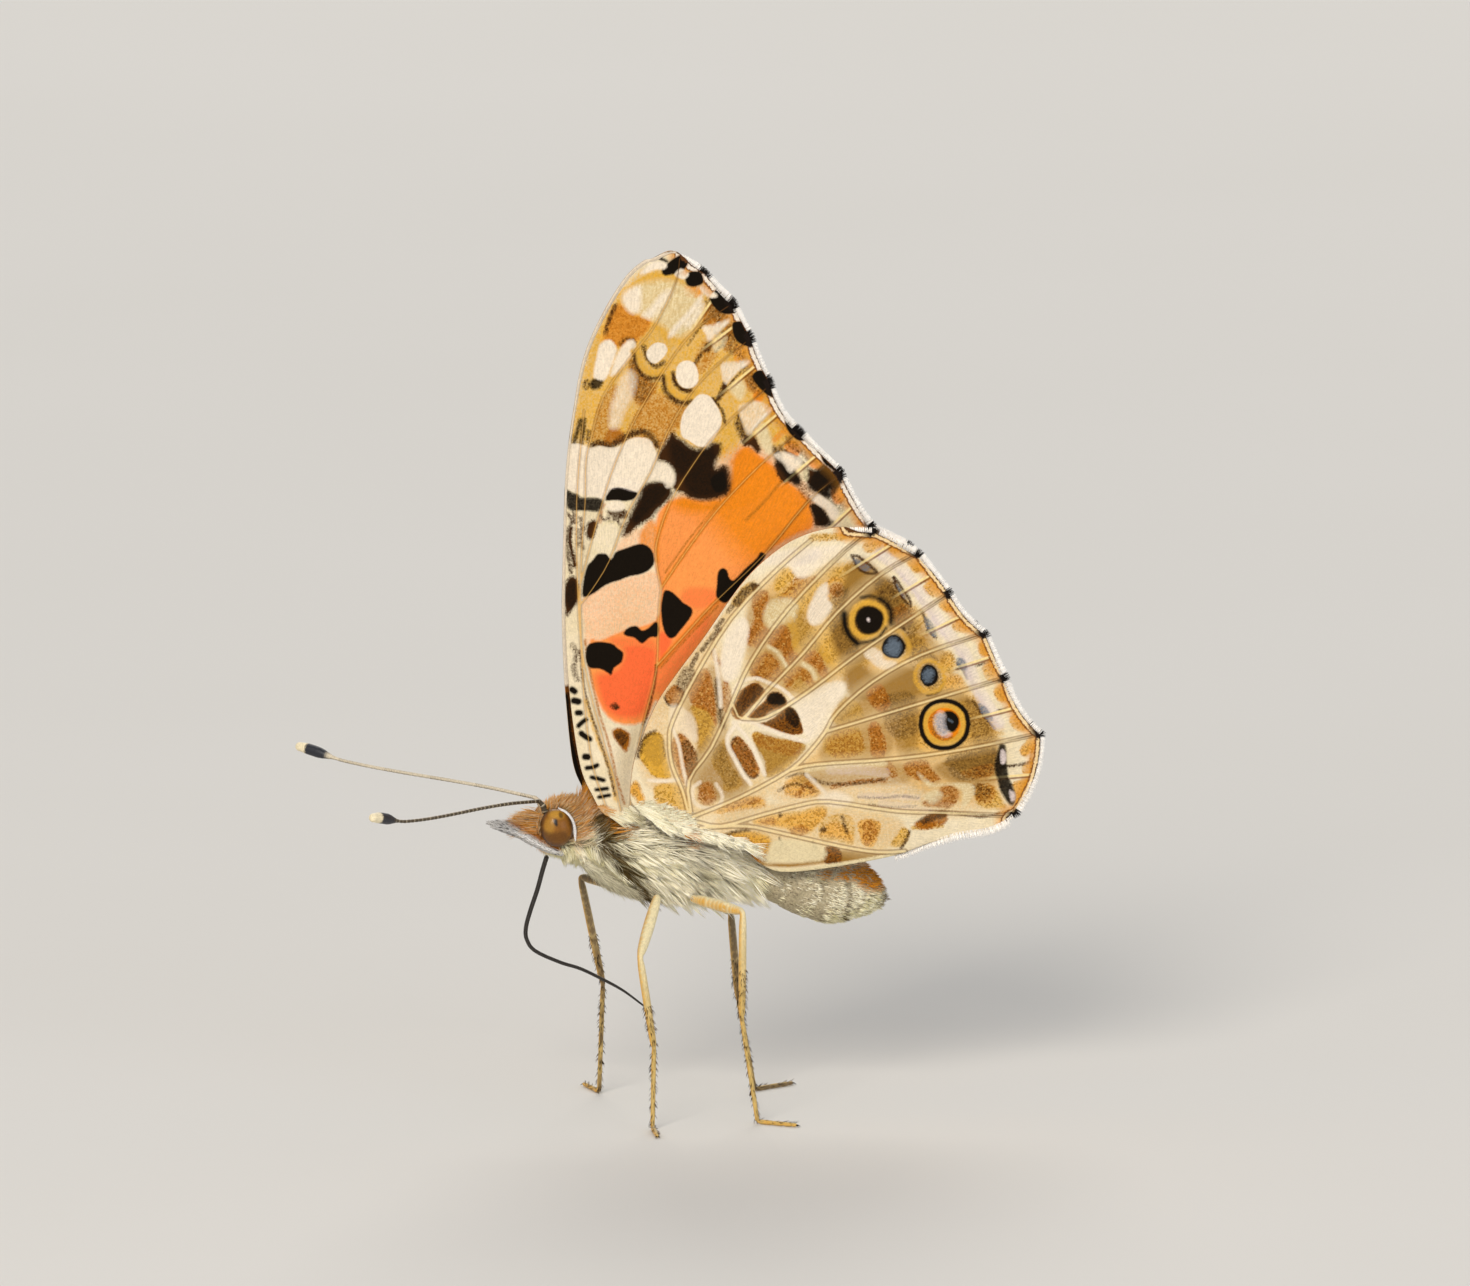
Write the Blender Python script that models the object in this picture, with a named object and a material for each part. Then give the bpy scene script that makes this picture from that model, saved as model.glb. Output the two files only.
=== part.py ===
"""Painted lady butterfly, life size, standing on a flat floor with its wings shut over its back.

The head points along -X, the left side is at -Y and +Z is up. Sizes are in millimetres until the mesh is
made. Places are written as they show in a side view, u to the tail and v up from the middle of the thorax,
seen a little from the front and from above. seen() turns such a place into the butterfly's own X, Y and Z.
"""

import math

import bmesh
import bpy
from mathutils import Vector
from mathutils.geometry import delaunay_2d_cdt, intersect_point_line

MM = 0.001

# How the side view is turned towards the head, and how far it looks down
VIEW_TURN = math.radians(11)
VIEW_DROP = math.radians(10)

# The stance: how high the middle of the thorax stands, and how far it is shifted to centre the whole
STANCE = 14.2
CENTRE_SHIFT = -2.6
FOOT_RADIUS = 0.26
SOLE = 0.2  # from the middle of the last tarsus joint down to its flat
GAP = 0.3  # between nodes that touch in life

# Wings
MEMBRANE = 0.5
VEIN_RIDGE = 0.13
VEIN_HALF_WIDTH = 0.3
FILL_SPACING = 2.1
PAIR_STEP = 0.94  # from the middle of a forewing to the middle of the hindwing outside it
WING_MEET = 0.44  # where the forewings nearly meet, from the mid plane to the middle of the membrane
WING_SPREAD = 1.88  # how much further out the forewing is at its root
WING_FALL = 3.8  # height over which that spread falls to about a third
ROOT_HEIGHT = 1.7

FOREWING_COSTA = [
    (-1.5, 1.7), (-2.15, 2.15), (-2.6, 2.95), (-3, 3.75), (-3.3, 4.8), (-3.6, 6.6), (-3.85, 8.85), (-4, 11.25),
    (-4.05, 13.4), (-4, 16.6), (-3.9, 19.8), (-3.55, 23), (-2.9, 26.2), (-1.85, 28.6), (-0.65, 30.5), (0.3, 31.35),
    (0.8, 31.5), (1.7, 31.9), (2.45, 31.75), (3.05, 31.4),
]
FOREWING_VEIN_ENDS = [(3.65, 31), (5.2, 29.4), (6.15, 27.55), (7.2, 25.1), (8.7, 22.6), (10.95, 20.35), (12.7, 17.35)]
FOREWING_SCALLOPS = (0.04, 0.04, 0.1, 0.28, 0.04, 0.14)
FOREWING_INNER = [(12.2, 16.3), (9.35, 12.85), (6.15, 9.35), (3.2, 6.15), (1.3, 3.75), (0.25, 2.5), (-0.55, 1.85)]
FOREWING_VEINS = {
    "subcosta": [(-1.8, 2.25), (-2.55, 4.55), (-2.95, 7.5), (-3.2, 11.25), (-3.35, 13.9), (-3.4, 18.7), (-3.0, 23.5)],
    "radius": [
        (-1.05, 2.15), (-1.45, 4), (-2, 5.9), (-2.7, 8.55), (-3.1, 10.7), (-3.2, 12.85), (-3.2, 14.2), (-3.1, 16.6),
        (-2.95, 18.55), (-2.9, 20.8), (-2.6, 22.1), (-1.95, 24.3), (-0.45, 26.45), (0.55, 27.7), (1.3, 29),
        (1.95, 30.5), (2.1, 31.6),
    ],
    "median_1": [
        (-3.2, 14.2), (-2.7, 16.15), (-2.05, 18.55), (-1.3, 20.8), (-0.05, 23.5), (1.8, 26.45), (3.15, 28),
        (5.2, 29.4),
    ],
    "median_2": [
        (-3.15, 13.2), (-2.55, 14), (-1.65, 15.5), (-0.7, 18), (0.55, 20.2), (1.4, 22.25), (2.6, 24.3), (4.05, 25.9),
        (6.15, 27.55),
    ],
    "cubitus": [(-0.55, 2.25), (-0.3, 4.55), (0.15, 6.8), (0.85, 9.65), (0.95, 12.3), (1.1, 14)],
    "median_3": [(1.1, 14), (0.85, 15.45), (0.9, 16.6), (1.6, 18.6), (2.8, 20.6), (4.35, 22.6), (7.2, 25.1)],
    "cubitus_1": [(1.1, 14), (2.45, 16), (4.15, 18.25), (6.4, 20.6), (8.7, 22.6)],
    "cubitus_2": [(0.9, 9.9), (2.4, 11.55), (3.85, 13.15), (6.7, 15.9), (8.9, 18.6), (10.95, 20.35)],
    "anal_2": [(-0.2, 2.35), (3.2, 6.55), (7.5, 11.45), (10.15, 14.7), (12.7, 17.35)],
}

HINDWING_COSTA = [
    (0, 2.05), (-0.55, 2.7), (-0.45, 4.3), (-0.1, 5.6), (0.8, 7.75), (1.85, 9.35), (3.35, 11.35), (5.35, 14.2),
    (6.95, 15.8), (8.55, 16.8), (10.45, 17.3),
]
HINDWING_VEIN_ENDS = [
    (12.65, 17.25), (15.1, 16.05), (16.75, 13.9), (18.7, 11.7), (19.8, 9.3), (21.7, 6.3), (20.35, 1.8),
]
HINDWING_SCALLOPS = (0, 0, 0.2, 0.04, 0.3, -0.4)
HINDWING_INNER = [
    (18.7, 1.05), (17.1, 0.8), (15.25, 0.25), (13.9, -0.25), (12.1, -0.65), (9.65, -1.05), (7.5, -1.2), (6.25, -0.65),
    (5.45, 0.2), (4, 0.65), (2.15, 0.95), (0.8, 1.35),
]
HINDWING_VEINS = {
    "subcosta": [
        (2.55, 2.05), (2.25, 3.2), (1.7, 4.55), (1.55, 5.9), (1.75, 6.95), (2.9, 9.25), (4.85, 12.4), (7.3, 15),
        (9.15, 16.6),
    ],
    "sector": [
        (2.7, 2.05), (2.6, 3.75), (3.8, 5.5), (4.9, 7.9), (5.95, 10.15), (7.9, 12.9), (10.95, 16.05), (12.65, 17.25),
    ],
    "median_1": [(4.9, 7.9), (5.45, 7.05), (6.65, 8.4), (8.75, 10.6), (10.55, 12.75), (12.9, 14.8), (15.1, 16.05)],
    "median_2": [(5.45, 7.05), (6.8, 7.15), (9.05, 8.55), (11.55, 10.45), (14.3, 12.3), (16.75, 13.9)],
    "cubitus": [(2.8, 1.8), (5.35, 2.85), (8, 4.3), (9.2, 5.45), (9.9, 6.35)],
    "median_3": [(9.9, 6.35), (10.55, 7.4), (12.4, 9), (15, 10.45), (18.7, 11.7)],
    "cubitus_1": [(9.9, 6.35), (13.1, 7.3), (16.6, 8.35), (19.8, 9.3)],
    "cubitus_2": [(8, 4.3), (9.45, 4.6), (13.65, 4.9), (17.3, 5.4), (21.7, 6.3)],
    "anal_2": [(2.9, 1.55), (4.3, 1.3), (6.35, 1.85), (8.45, 2.4), (10.1, 2.6), (13.65, 2.1), (16.25, 2), (20.35, 1.8)],
    "anal_3": [(3.2, 1.2), (5.6, 1.3), (7.4, 0.95), (10.75, 0.2), (12.65, -0.1), (14.2, -0.05)],
}

# How far out the hindwing lies low down: beside the thorax, beside the abdomen and behind its tip
HINDWING_BY_THORAX = 3.05
HINDWING_BY_ABDOMEN = 2.5
HINDWING_BEHIND = 1.5

# Body: u and v of the middle, half height and half width
THORAX = [
    (-3.15, 1.45, 1.2, 0.9), (-2.98, 1.45, 1.7, 1.35), (-2.5, 1.45, 2.15, 1.75), (-1.8, 1.35, 2.45, 1.98),
    (-0.65, 1.05, 2.75, 2.1), (0.8, 0.7, 2.9, 2.15), (2.4, 0.3, 2.75, 2.15), (3.75, -0.05, 2.4, 2),
    (4.7, -0.3, 1.95, 1.7), (5.06, -0.45, 1.4, 1.25),
]
ABDOMEN = [
    (5.93, -0.55, 1.1, 1.15), (6.15, -0.55, 1.45, 1.45), (6.75, -0.7, 1.75, 1.65), (7.75, -1.05, 2, 1.8),
    (9, -1.5, 2.15, 1.87), (10.15, -1.9, 2.1, 1.85), (11.15, -2.1, 1.8, 1.65), (11.9, -2.35, 1.35, 1.35),
    (12.4, -2.55, 0.95, 0.9), (12.75, -2.75, 0.5, 0.5),
]
ABDOMEN_RINGS = 8
RING_GROOVE = 0.045  # share of the radius lost at each groove between rings
HEAD = [
    (-3.75, 1.5, 1.15, 1.1), (-3.95, 1.5, 1.25, 1.25), (-4.5, 1.5, 1.25, 1.3), (-5.2, 1.45, 0.85, 1.1),
    (-5.7, 1.55, 0.6, 0.8), (-5.98, 1.6, 0.35, 0.45),
]
EGG = 0.3  # how much narrower the thorax is at its back than at its middle
BODY_SIDES = 20
BODY_BULGE = 0.12

# Features of the near side: u, v and y outward of the middle
EYE_MIDDLE = (-4.45, 1.2, 1.05)
EYE_RADII = (0.9, 0.78, 1.03)

ANTENNA_ROOT = (-5.4, 2.62, 0.53)
ANTENNA_REACH = (-10.9, 10.25, 1.5)  # forward, outward and up, from the root to the tip
ANTENNA_ARCH = 0.3
SHAFT_RADIUS = 0.25
CLUB_RADIUS = 0.33
CLUB_SHARE = 0.13  # of the antenna's length

# Lip feelers and tucked forelegs: u, v, y outward, half height and half width
PALP = [
    (-4, -0.75, 0.78, 0.25, 0.25), (-4.7, -0.47, 0.74, 0.32, 0.28), (-5.5, 0.05, 0.6, 0.36, 0.28),
    (-6.35, 0.72, 0.54, 0.38, 0.28), (-7.2, 1.13, 0.52, 0.27, 0.25), (-7.9, 1.37, 0.5, 0.14, 0.14),
]
FORELEG = [
    (-2.9, -1.25, 1, 0.25, 0.25), (-2.15, -1.7, 1.05, 0.36, 0.36), (-1.35, -2.1, 1.1, 0.36, 0.36),
    (-0.45, -2.5, 1.1, 0.22, 0.22),
]
PROBOSCIS = [
    (-5, -0.6), (-5.2, -1.05), (-5.5, -2.15), (-5.85, -3.2), (-6.1, -4.15), (-6.05, -4.8), (-5.6, -5.4), (-4.3, -6),
    (-3.2, -6.35), (-2.15, -6.85), (-0.95, -7.5), (0.2, -8.35),
]
PROBOSCIS_RADIUS = 0.25

# Legs: root, knee and shin end as u, v, y, then heel and toe on the floor as X, Y
LEGS = {
    "midleg_left": ((0.9, -3, -1.5), (0, -5.7, -4.6), (0.75, -10.55, -5), (-0.4, -5.6), (-0.6, -8)),
    "midleg_right": ((0, -2.45, 1.5), (-3.2, -1.45, 3.6), (-2, -7.2, 4.2), (-1.2, 5.4), (-1.6, 7.6)),
    "hindleg_left": ((3.15, -3, -1.5), (5.5, -3.3, -4.2), (5.45, -9, -4.6), (5.45, -4.9), (7.25, -6.3)),
    "hindleg_right": ((4.05, -2.85, 1.5), (4.85, -3.35, 3.4), (5.25, -8, 3.9), (7.1, 4.4), (9.4, 5.8)),
}
THIGH_RADII = (0.25, 0.3, 0.27)
SHIN_RADII = (0.25, 0.26, 0.25)
TARSUS_RADII = (0.25, 0.25, 0.25)

COLOURS = {
    "wing": ((0.74, 0.55, 0.31), 0.75),
    "fur": ((0.62, 0.52, 0.40), 0.9),
    "abdomen": ((0.66, 0.55, 0.42), 0.8),
    "eye": ((0.36, 0.19, 0.05), 0.25),
    "antenna": ((0.17, 0.13, 0.10), 0.5),
    "leg": ((0.78, 0.52, 0.25), 0.5),
    "proboscis": ((0.05, 0.04, 0.03), 0.35),
}


def clear_scene():
    for old in list(bpy.data.objects):
        bpy.data.objects.remove(old)


def seen(u, v, y):
    """The X, Y and Z of the place that shows at u, v and lies y from the mid plane."""
    x = (u + y * math.sin(VIEW_TURN)) / math.cos(VIEW_TURN)
    lift = x * math.sin(VIEW_TURN) + y * math.cos(VIEW_TURN)
    return Vector((x, y, (v - lift * math.sin(VIEW_DROP)) / math.cos(VIEW_DROP)))


def paired(u, v, out, sign):
    """The place out from the mid plane that shows at u, v on the left side, or its mirror on the right."""
    place = seen(u, v, -out)
    place.y *= -sign
    return place


def smooth_path(points, per_span):
    """Points on a Catmull-Rom curve through points, per_span to each span, both ends kept."""
    points = [Vector(p) for p in points]
    padded = [2 * points[0] - points[1], *points, 2 * points[-1] - points[-2]]
    found = []
    for before, start, end, after in zip(padded, padded[1:], padded[2:], padded[3:]):
        for step in range(per_span):
            t = step / per_span
            found.append(
                0.5
                * (
                    2 * start
                    + (end - before) * t
                    + (2 * before - 5 * start + 4 * end - after) * t**2
                    + (3 * start - before - 3 * end + after) * t**3
                )
            )
    return [*found, points[-1]]


def smoothstep(low, high, value):
    t = min(1, max(0, (value - low) / (high - low)))
    return t * t * (3 - 2 * t)


def material(kind):
    found = bpy.data.materials.get(kind)
    if found:
        return found
    colour, roughness = COLOURS[kind]
    made = bpy.data.materials.new(kind)
    made.use_nodes = True
    shader = made.node_tree.nodes["Principled BSDF"]
    shader.inputs["Base Color"].default_value = (*colour, 1)
    shader.inputs["Roughness"].default_value = roughness
    shader.inputs["Metallic"].default_value = 0
    return made


def finish(name, shape, kind, stand, root=Vector((0, 0, 0))):
    """An object from a bmesh in millimetres, with its origin at root, standing with the rest."""
    bmesh.ops.recalc_face_normals(shape, faces=shape.faces)
    bmesh.ops.triangulate(shape, faces=shape.faces)
    for vertex in shape.verts:
        vertex.co = (vertex.co - root) * MM
    mesh = bpy.data.meshes.new(name)
    shape.to_mesh(mesh)
    shape.free()
    mesh.shade_smooth()
    mesh.materials.append(material(kind))
    made = bpy.data.objects.new(name, mesh)
    made.location = root * MM
    made.parent = stand
    bpy.context.scene.collection.objects.link(made)
    return made


def ring(shape, middle, along, half_height, half_width, sides, egg=0.0):
    """A closed loop of edges round middle, square to along, narrowed above its middle by the share egg."""
    side = Vector((0, 1, 0)) if abs(along.y) < 0.9 else Vector((1, 0, 0))
    side = (side - along * side.dot(along)).normalized()
    up = along.cross(side).normalized()
    if up.z < 0:
        up.negate()
    corners = []
    for step in range(sides):
        angle = 2 * math.pi * step / sides
        rise = math.sin(angle)
        across = half_width * math.cos(angle) * (1 - egg * max(0, rise))
        corners.append(shape.verts.new(middle + side * across + up * half_height * rise))
    return [shape.edges.new((corners[i - 1], corners[i])) for i in range(sides)]


def skin_rings(shape, loops, first_tip, last_tip):
    """Bridges the loops in order and closes both ends to a point."""
    for one, other in zip(loops, loops[1:]):
        bmesh.ops.bridge_loops(shape, edges=[*one, *other])
    for loop, tip in ((loops[0], first_tip), (loops[-1], last_tip)):
        point = shape.verts.new(tip)
        for edge in loop:
            shape.faces.new((*edge.verts, point))


def limb(name, kind, stand, stations, sides, egg=0.0, blunt=0.35, floor=False):
    """A closed body through stations: middle, half height and half width. Blunt is how far its ends bulge."""
    shape = bmesh.new()
    middles = [s[0] for s in stations]
    tangents = []
    for i in range(len(middles)):
        before, after = middles[max(0, i - 1)], middles[min(len(middles) - 1, i + 1)]
        tangents.append((after - before).normalized())
    loops = [ring(shape, s[0], t, s[1], s[2], sides, egg) for s, t in zip(stations, tangents)]
    first = middles[0] - tangents[0] * stations[0][2] * blunt
    last = middles[-1] + tangents[-1] * stations[-1][2] * blunt
    skin_rings(shape, loops, first, last)
    if floor:
        for vertex in shape.verts:
            vertex.co.z = max(vertex.co.z, -STANCE)
    return finish(name, shape, kind, stand, middles[0].copy())


def body(name, kind, stand, table, per_span, egg=0.0, groove=None):
    """A body lofted along the mid plane through a table of u, v, half height and half width."""
    places = smooth_path([Vector((*row[:2], 0)) for row in table], per_span)
    sizes = smooth_path([Vector((*row[2:], 0)) for row in table], per_span)
    stations = []
    for i, (place, size) in enumerate(zip(places, sizes)):
        share = groove(i / (len(places) - 1)) if groove else 1
        stations.append((seen(place.x, place.y, 0), size.x * share, size.y * share))
    return limb(name, kind, stand, stations, BODY_SIDES, egg, BODY_BULGE)


def ring_groove(along):
    """Each ring of the abdomen swells a little and ends in a groove."""
    place = (along * ABDOMEN_RINGS) % 1
    return 1 - RING_GROOVE * max(0, 1 - 4 * min(place, 1 - place))


def wing_outline(costa, vein_ends, scallops, inner):
    """The edge of a wing: smooth costa, a scallop between each two vein ends, smooth inner edge."""
    edge = smooth_path([*costa, vein_ends[0]], 3)
    for start, end, scallop in zip(vein_ends, vein_ends[1:], scallops):
        start, end = Vector(start), Vector(end)
        chord = end - start
        inward = Vector((chord.y, -chord.x)).normalized()
        for t in (0.25, 0.5, 0.75):
            edge.append(start + chord * t + inward * scallop * 4 * t * (1 - t))
        edge.append(end)
    edge += smooth_path([vein_ends[-1], *inner], 2)[1:]
    return [Vector(p) for p in edge]


def distance_to(path, point):
    """How far a flat point is from a chain of straight spans."""
    nearest = math.inf
    for start, end in zip(path, path[1:]):
        foot, share = intersect_point_line(point.to_3d(), start.to_3d(), end.to_3d())
        share = min(1, max(0, share))
        nearest = min(nearest, (point - start.lerp(end, share)).length)
    return nearest


def inside(point, outline):
    """Whether a flat point lies within the outline, by counting the edges to its right."""
    crossed = False
    for a, b in zip(outline, outline[1:] + outline[:1]):
        if (a.y > point.y) != (b.y > point.y):
            if point.x < a.x + (point.y - a.y) / (b.y - a.y) * (b.x - a.x):
                crossed = not crossed
    return crossed


def vein_rails(path):
    """The crest of a vein and a foot line on each side of it."""
    left, right = [], []
    for i, point in enumerate(path):
        along = (path[min(i + 1, len(path) - 1)] - path[max(i - 1, 0)]).normalized()
        across = Vector((-along.y, along.x)) * VEIN_HALF_WIDTH
        left.append(point + across)
        right.append(point - across)
    return path, left, right


def wing(name, stand, parts, surface, side):
    """A membrane cut from the outline, with the veins raised in both of its faces."""
    *edges_of_wing, veins = parts
    outline = wing_outline(*edges_of_wing)
    closed = outline + outline[:1]
    paths = [smooth_path(path, 2) for path in veins.values()]
    points, edges = list(outline), [(i, (i + 1) % len(outline)) for i in range(len(outline))]
    for path in paths:
        for rail in vein_rails(path):
            previous = None
            for point in rail:
                if inside(point, outline) and distance_to(closed, point) > VEIN_HALF_WIDTH / 2:
                    points.append(point)
                    if previous is not None:
                        edges.append((previous, len(points) - 1))
                    previous = len(points) - 1
                else:
                    previous = None
    low_u, high_u = min(p.x for p in outline), max(p.x for p in outline)
    low_v, high_v = min(p.y for p in outline), max(p.y for p in outline)
    for row in range(int((high_v - low_v) / FILL_SPACING) + 1):
        for column in range(int((high_u - low_u) / FILL_SPACING) + 1):
            point = Vector((low_u + (column + 0.5 * (row % 2)) * FILL_SPACING, low_v + row * FILL_SPACING))
            clear = min(distance_to(path, point) for path in [closed, *paths])
            if inside(point, outline) and clear > FILL_SPACING / 2:
                points.append(point)
    corners, _, faces, _, _, _ = delaunay_2d_cdt(points, edges, [], 1, 1e-4)
    shape = bmesh.new()
    flat = shape.verts.layers.float_vector.new("flat")
    for corner in corners:
        vertex = shape.verts.new((corner.x, 0, corner.y))
        vertex[flat] = (corner.x, corner.y, 0)
    shape.verts.ensure_lookup_table()
    for face in faces:
        shape.faces.new([shape.verts[i] for i in face])
    for loose in [v for v in shape.verts if not v.link_faces]:
        shape.verts.remove(loose)
    outer = list(shape.verts)
    pushed = bmesh.ops.extrude_face_region(shape, geom=list(shape.faces), use_keep_orig=True)["geom"]
    sheets = ((outer, 1), ([g for g in pushed if isinstance(g, bmesh.types.BMVert)], -1))
    for vertices, face in sheets:
        for vertex in vertices:
            place = Vector(vertex[flat][:2])
            near = min(distance_to(path, place) for path in paths)
            ridge = VEIN_RIDGE * max(0, 1 - near / VEIN_HALF_WIDTH)
            middle = surface(place.x, place.y)
            spot = seen(place.x, place.y, -middle)
            spot.y -= face * (MEMBRANE / 2 + (ridge if face > 0 else 0))
            vertex.co = spot if side == "left" else Vector((spot.x, -spot.y, spot.z))
    root = outline[0]
    hinge = paired(root.x, root.y, surface(root.x, root.y), -1 if side == "left" else 1)
    return finish(name, shape, "wing", stand, hinge)


def forewing_surface(u, v):
    """How far out the middle of the forewing is: wide at the root, then leaning in to its fellow."""
    return WING_MEET + WING_SPREAD * math.exp(-(max(v, ROOT_HEIGHT) - ROOT_HEIGHT) / WING_FALL)


def hindwing_surface(u, v):
    """The hindwing lies outside the forewing, and low down it bends round the abdomen."""
    above = forewing_surface(u, v) + PAIR_STEP
    low = HINDWING_BY_THORAX + (HINDWING_BY_ABDOMEN - HINDWING_BY_THORAX) * smoothstep(4, 6.5, u)
    low += (HINDWING_BEHIND - HINDWING_BY_ABDOMEN) * smoothstep(11.5, 18.5, u)
    softness = 0.08
    return -softness * math.log(math.exp(-above / softness) + math.exp(-low / softness))


def eye(name, stand, sign, grown=0.0):
    u, v, out = EYE_MIDDLE
    middle = paired(u, v, out, sign)
    shape = bmesh.new()
    bmesh.ops.create_uvsphere(shape, u_segments=16, v_segments=10, radius=1)
    for vertex in shape.verts:
        vertex.co = Vector([c * (r + grown) for c, r in zip(vertex.co, EYE_RADII)]) + middle
    return finish(name, shape, "eye", stand, middle)


def head_with_sockets(stand):
    """The head, with a hollow that each eye sits in."""
    made = body("head", "fur", stand, HEAD, 3)
    for side, sign in (("left", -1), ("right", 1)):
        cutter = eye(f"socket_{side}", stand, sign, GAP)
        cutter.hide_render = True
        cutter.display_type = "WIRE"
        cut = made.modifiers.new(f"socket_{side}", "BOOLEAN")
        cut.operation = "DIFFERENCE"
        cut.object = cutter
    return made


def antenna(name, stand, sign):
    """A straight shaft that arches a little from its root and ends in a club."""
    u, v, out = ANTENNA_ROOT
    root = paired(u, v, out, sign)
    reach = Vector((ANTENNA_REACH[0], sign * ANTENNA_REACH[1], ANTENNA_REACH[2]))
    stations = []
    spans = 14
    for step in range(spans + 1):
        t = step / spans
        middle = root + reach * t
        middle.z += ANTENNA_ARCH * math.sin(math.pi * min(1, 2 * t)) * (1 - t)
        swell = smoothstep(1 - CLUB_SHARE, 1 - CLUB_SHARE / 2, t)
        radius = SHAFT_RADIUS + (CLUB_RADIUS - SHAFT_RADIUS) * swell
        if step == spans:
            radius = CLUB_RADIUS / 2
        stations.append((middle, radius, radius))
    return limb(name, "antenna", stand, stations, 8)


def soft_limb(name, kind, stand, table, sign):
    """A short limb through a table of u, v, y outward, half height and half width."""
    places = smooth_path([Vector(row[:3]) for row in table], 2)
    sizes = smooth_path([Vector((row[3], row[4], 0)) for row in table], 2)
    stations = [(paired(*p, sign), s.x, s.y) for p, s in zip(places, sizes)]
    return limb(name, kind, stand, stations, 12)


def proboscis(stand):
    places = smooth_path([Vector((*p, 0)) for p in PROBOSCIS], 2)
    radius = PROBOSCIS_RADIUS
    stations = [(seen(p.x, p.y, 0), radius, radius) for p in places]
    return limb("proboscis", "proboscis", stand, stations, 8)


def bone(start, end, radii):
    """Stations along one straight joint of a leg, a little short of both of its ends."""
    places = (0.07, 0.45, 0.93)
    return [(start.lerp(end, t), r, r) for t, r in zip(places, radii)]


def leg(name, stand, plan):
    """Thigh, shin and tarsus, the last joint lying flat on the floor."""
    root, knee, ankle = (seen(*p) for p in plan[:3])
    heel, toe = (Vector((*p, SOLE - STANCE)) for p in plan[3:])
    stations = bone(root, knee, THIGH_RADII) + bone(knee, ankle, SHIN_RADII) + bone(ankle, heel, TARSUS_RADII)
    stations += [(heel.lerp(toe, t), FOOT_RADIUS, FOOT_RADIUS) for t in (0.15, 0.6, 1)]
    return limb(name, "leg", stand, stations, 8, floor=True)


def main():
    clear_scene()
    stand = bpy.data.objects.new("butterfly", None)
    stand.location = Vector((CENTRE_SHIFT, 0, STANCE)) * MM
    bpy.context.scene.collection.objects.link(stand)

    head_with_sockets(stand)
    body("thorax", "fur", stand, THORAX, 2, EGG)
    body("abdomen", "abdomen", stand, ABDOMEN, 4, groove=ring_groove)
    proboscis(stand)
    forewing = (FOREWING_COSTA, FOREWING_VEIN_ENDS, FOREWING_SCALLOPS, FOREWING_INNER, FOREWING_VEINS)
    hindwing = (HINDWING_COSTA, HINDWING_VEIN_ENDS, HINDWING_SCALLOPS, HINDWING_INNER, HINDWING_VEINS)
    for side, sign in (("left", -1), ("right", 1)):
        wing(f"forewing_{side}", stand, forewing, forewing_surface, side)
        wing(f"hindwing_{side}", stand, hindwing, hindwing_surface, side)
        eye(f"eye_{side}", stand, sign)
        antenna(f"antenna_{side}", stand, sign)
        soft_limb(f"palp_{side}", "fur", stand, PALP, sign)
        soft_limb(f"foreleg_{side}", "fur", stand, FORELEG, sign)
    for name, plan in LEGS.items():
        leg(name, stand, plan)


main()
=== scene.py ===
import math

import bmesh
import bpy
import numpy as np
from mathutils import Matrix, Vector
from mathutils.geometry import delaunay_2d_cdt


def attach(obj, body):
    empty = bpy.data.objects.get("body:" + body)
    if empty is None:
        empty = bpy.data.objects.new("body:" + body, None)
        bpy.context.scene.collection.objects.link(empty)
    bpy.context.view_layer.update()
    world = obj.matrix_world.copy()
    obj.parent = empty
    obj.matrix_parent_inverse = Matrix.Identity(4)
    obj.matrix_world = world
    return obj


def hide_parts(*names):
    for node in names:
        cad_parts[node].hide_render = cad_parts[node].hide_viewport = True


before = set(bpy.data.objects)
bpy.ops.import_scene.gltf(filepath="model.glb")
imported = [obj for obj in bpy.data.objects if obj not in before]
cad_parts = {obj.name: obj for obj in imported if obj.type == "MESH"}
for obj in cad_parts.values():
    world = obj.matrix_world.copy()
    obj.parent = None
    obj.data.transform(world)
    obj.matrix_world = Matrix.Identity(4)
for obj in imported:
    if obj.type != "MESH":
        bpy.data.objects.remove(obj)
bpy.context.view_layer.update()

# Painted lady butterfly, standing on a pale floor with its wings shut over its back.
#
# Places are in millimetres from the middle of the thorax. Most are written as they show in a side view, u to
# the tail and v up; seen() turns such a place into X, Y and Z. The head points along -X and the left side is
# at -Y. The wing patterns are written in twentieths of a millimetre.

# One step of a mark's points is TRACE. STANCE is from the floor up to the middle of the thorax.
MM = 0.001
TRACE = 0.05
VIEW_TURN, VIEW_DROP = math.radians(11), math.radians(10)
COS_TURN, SIN_TURN = math.cos(VIEW_TURN), math.sin(VIEW_TURN)
COS_DROP, SIN_DROP = math.cos(VIEW_DROP), math.sin(VIEW_DROP)
STANCE = 14.2
CENTRE_SHIFT = -2.6
ORIGIN = np.array((CENTRE_SHIFT, 0, STANCE))
SIDES = (("left", -1), ("right", 1))

CAMERA_AWAY = 2.4
LENS_PER_METRE = 457.83
AIM_RIGHT, AIM_UP = 5.08, 11.07

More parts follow.
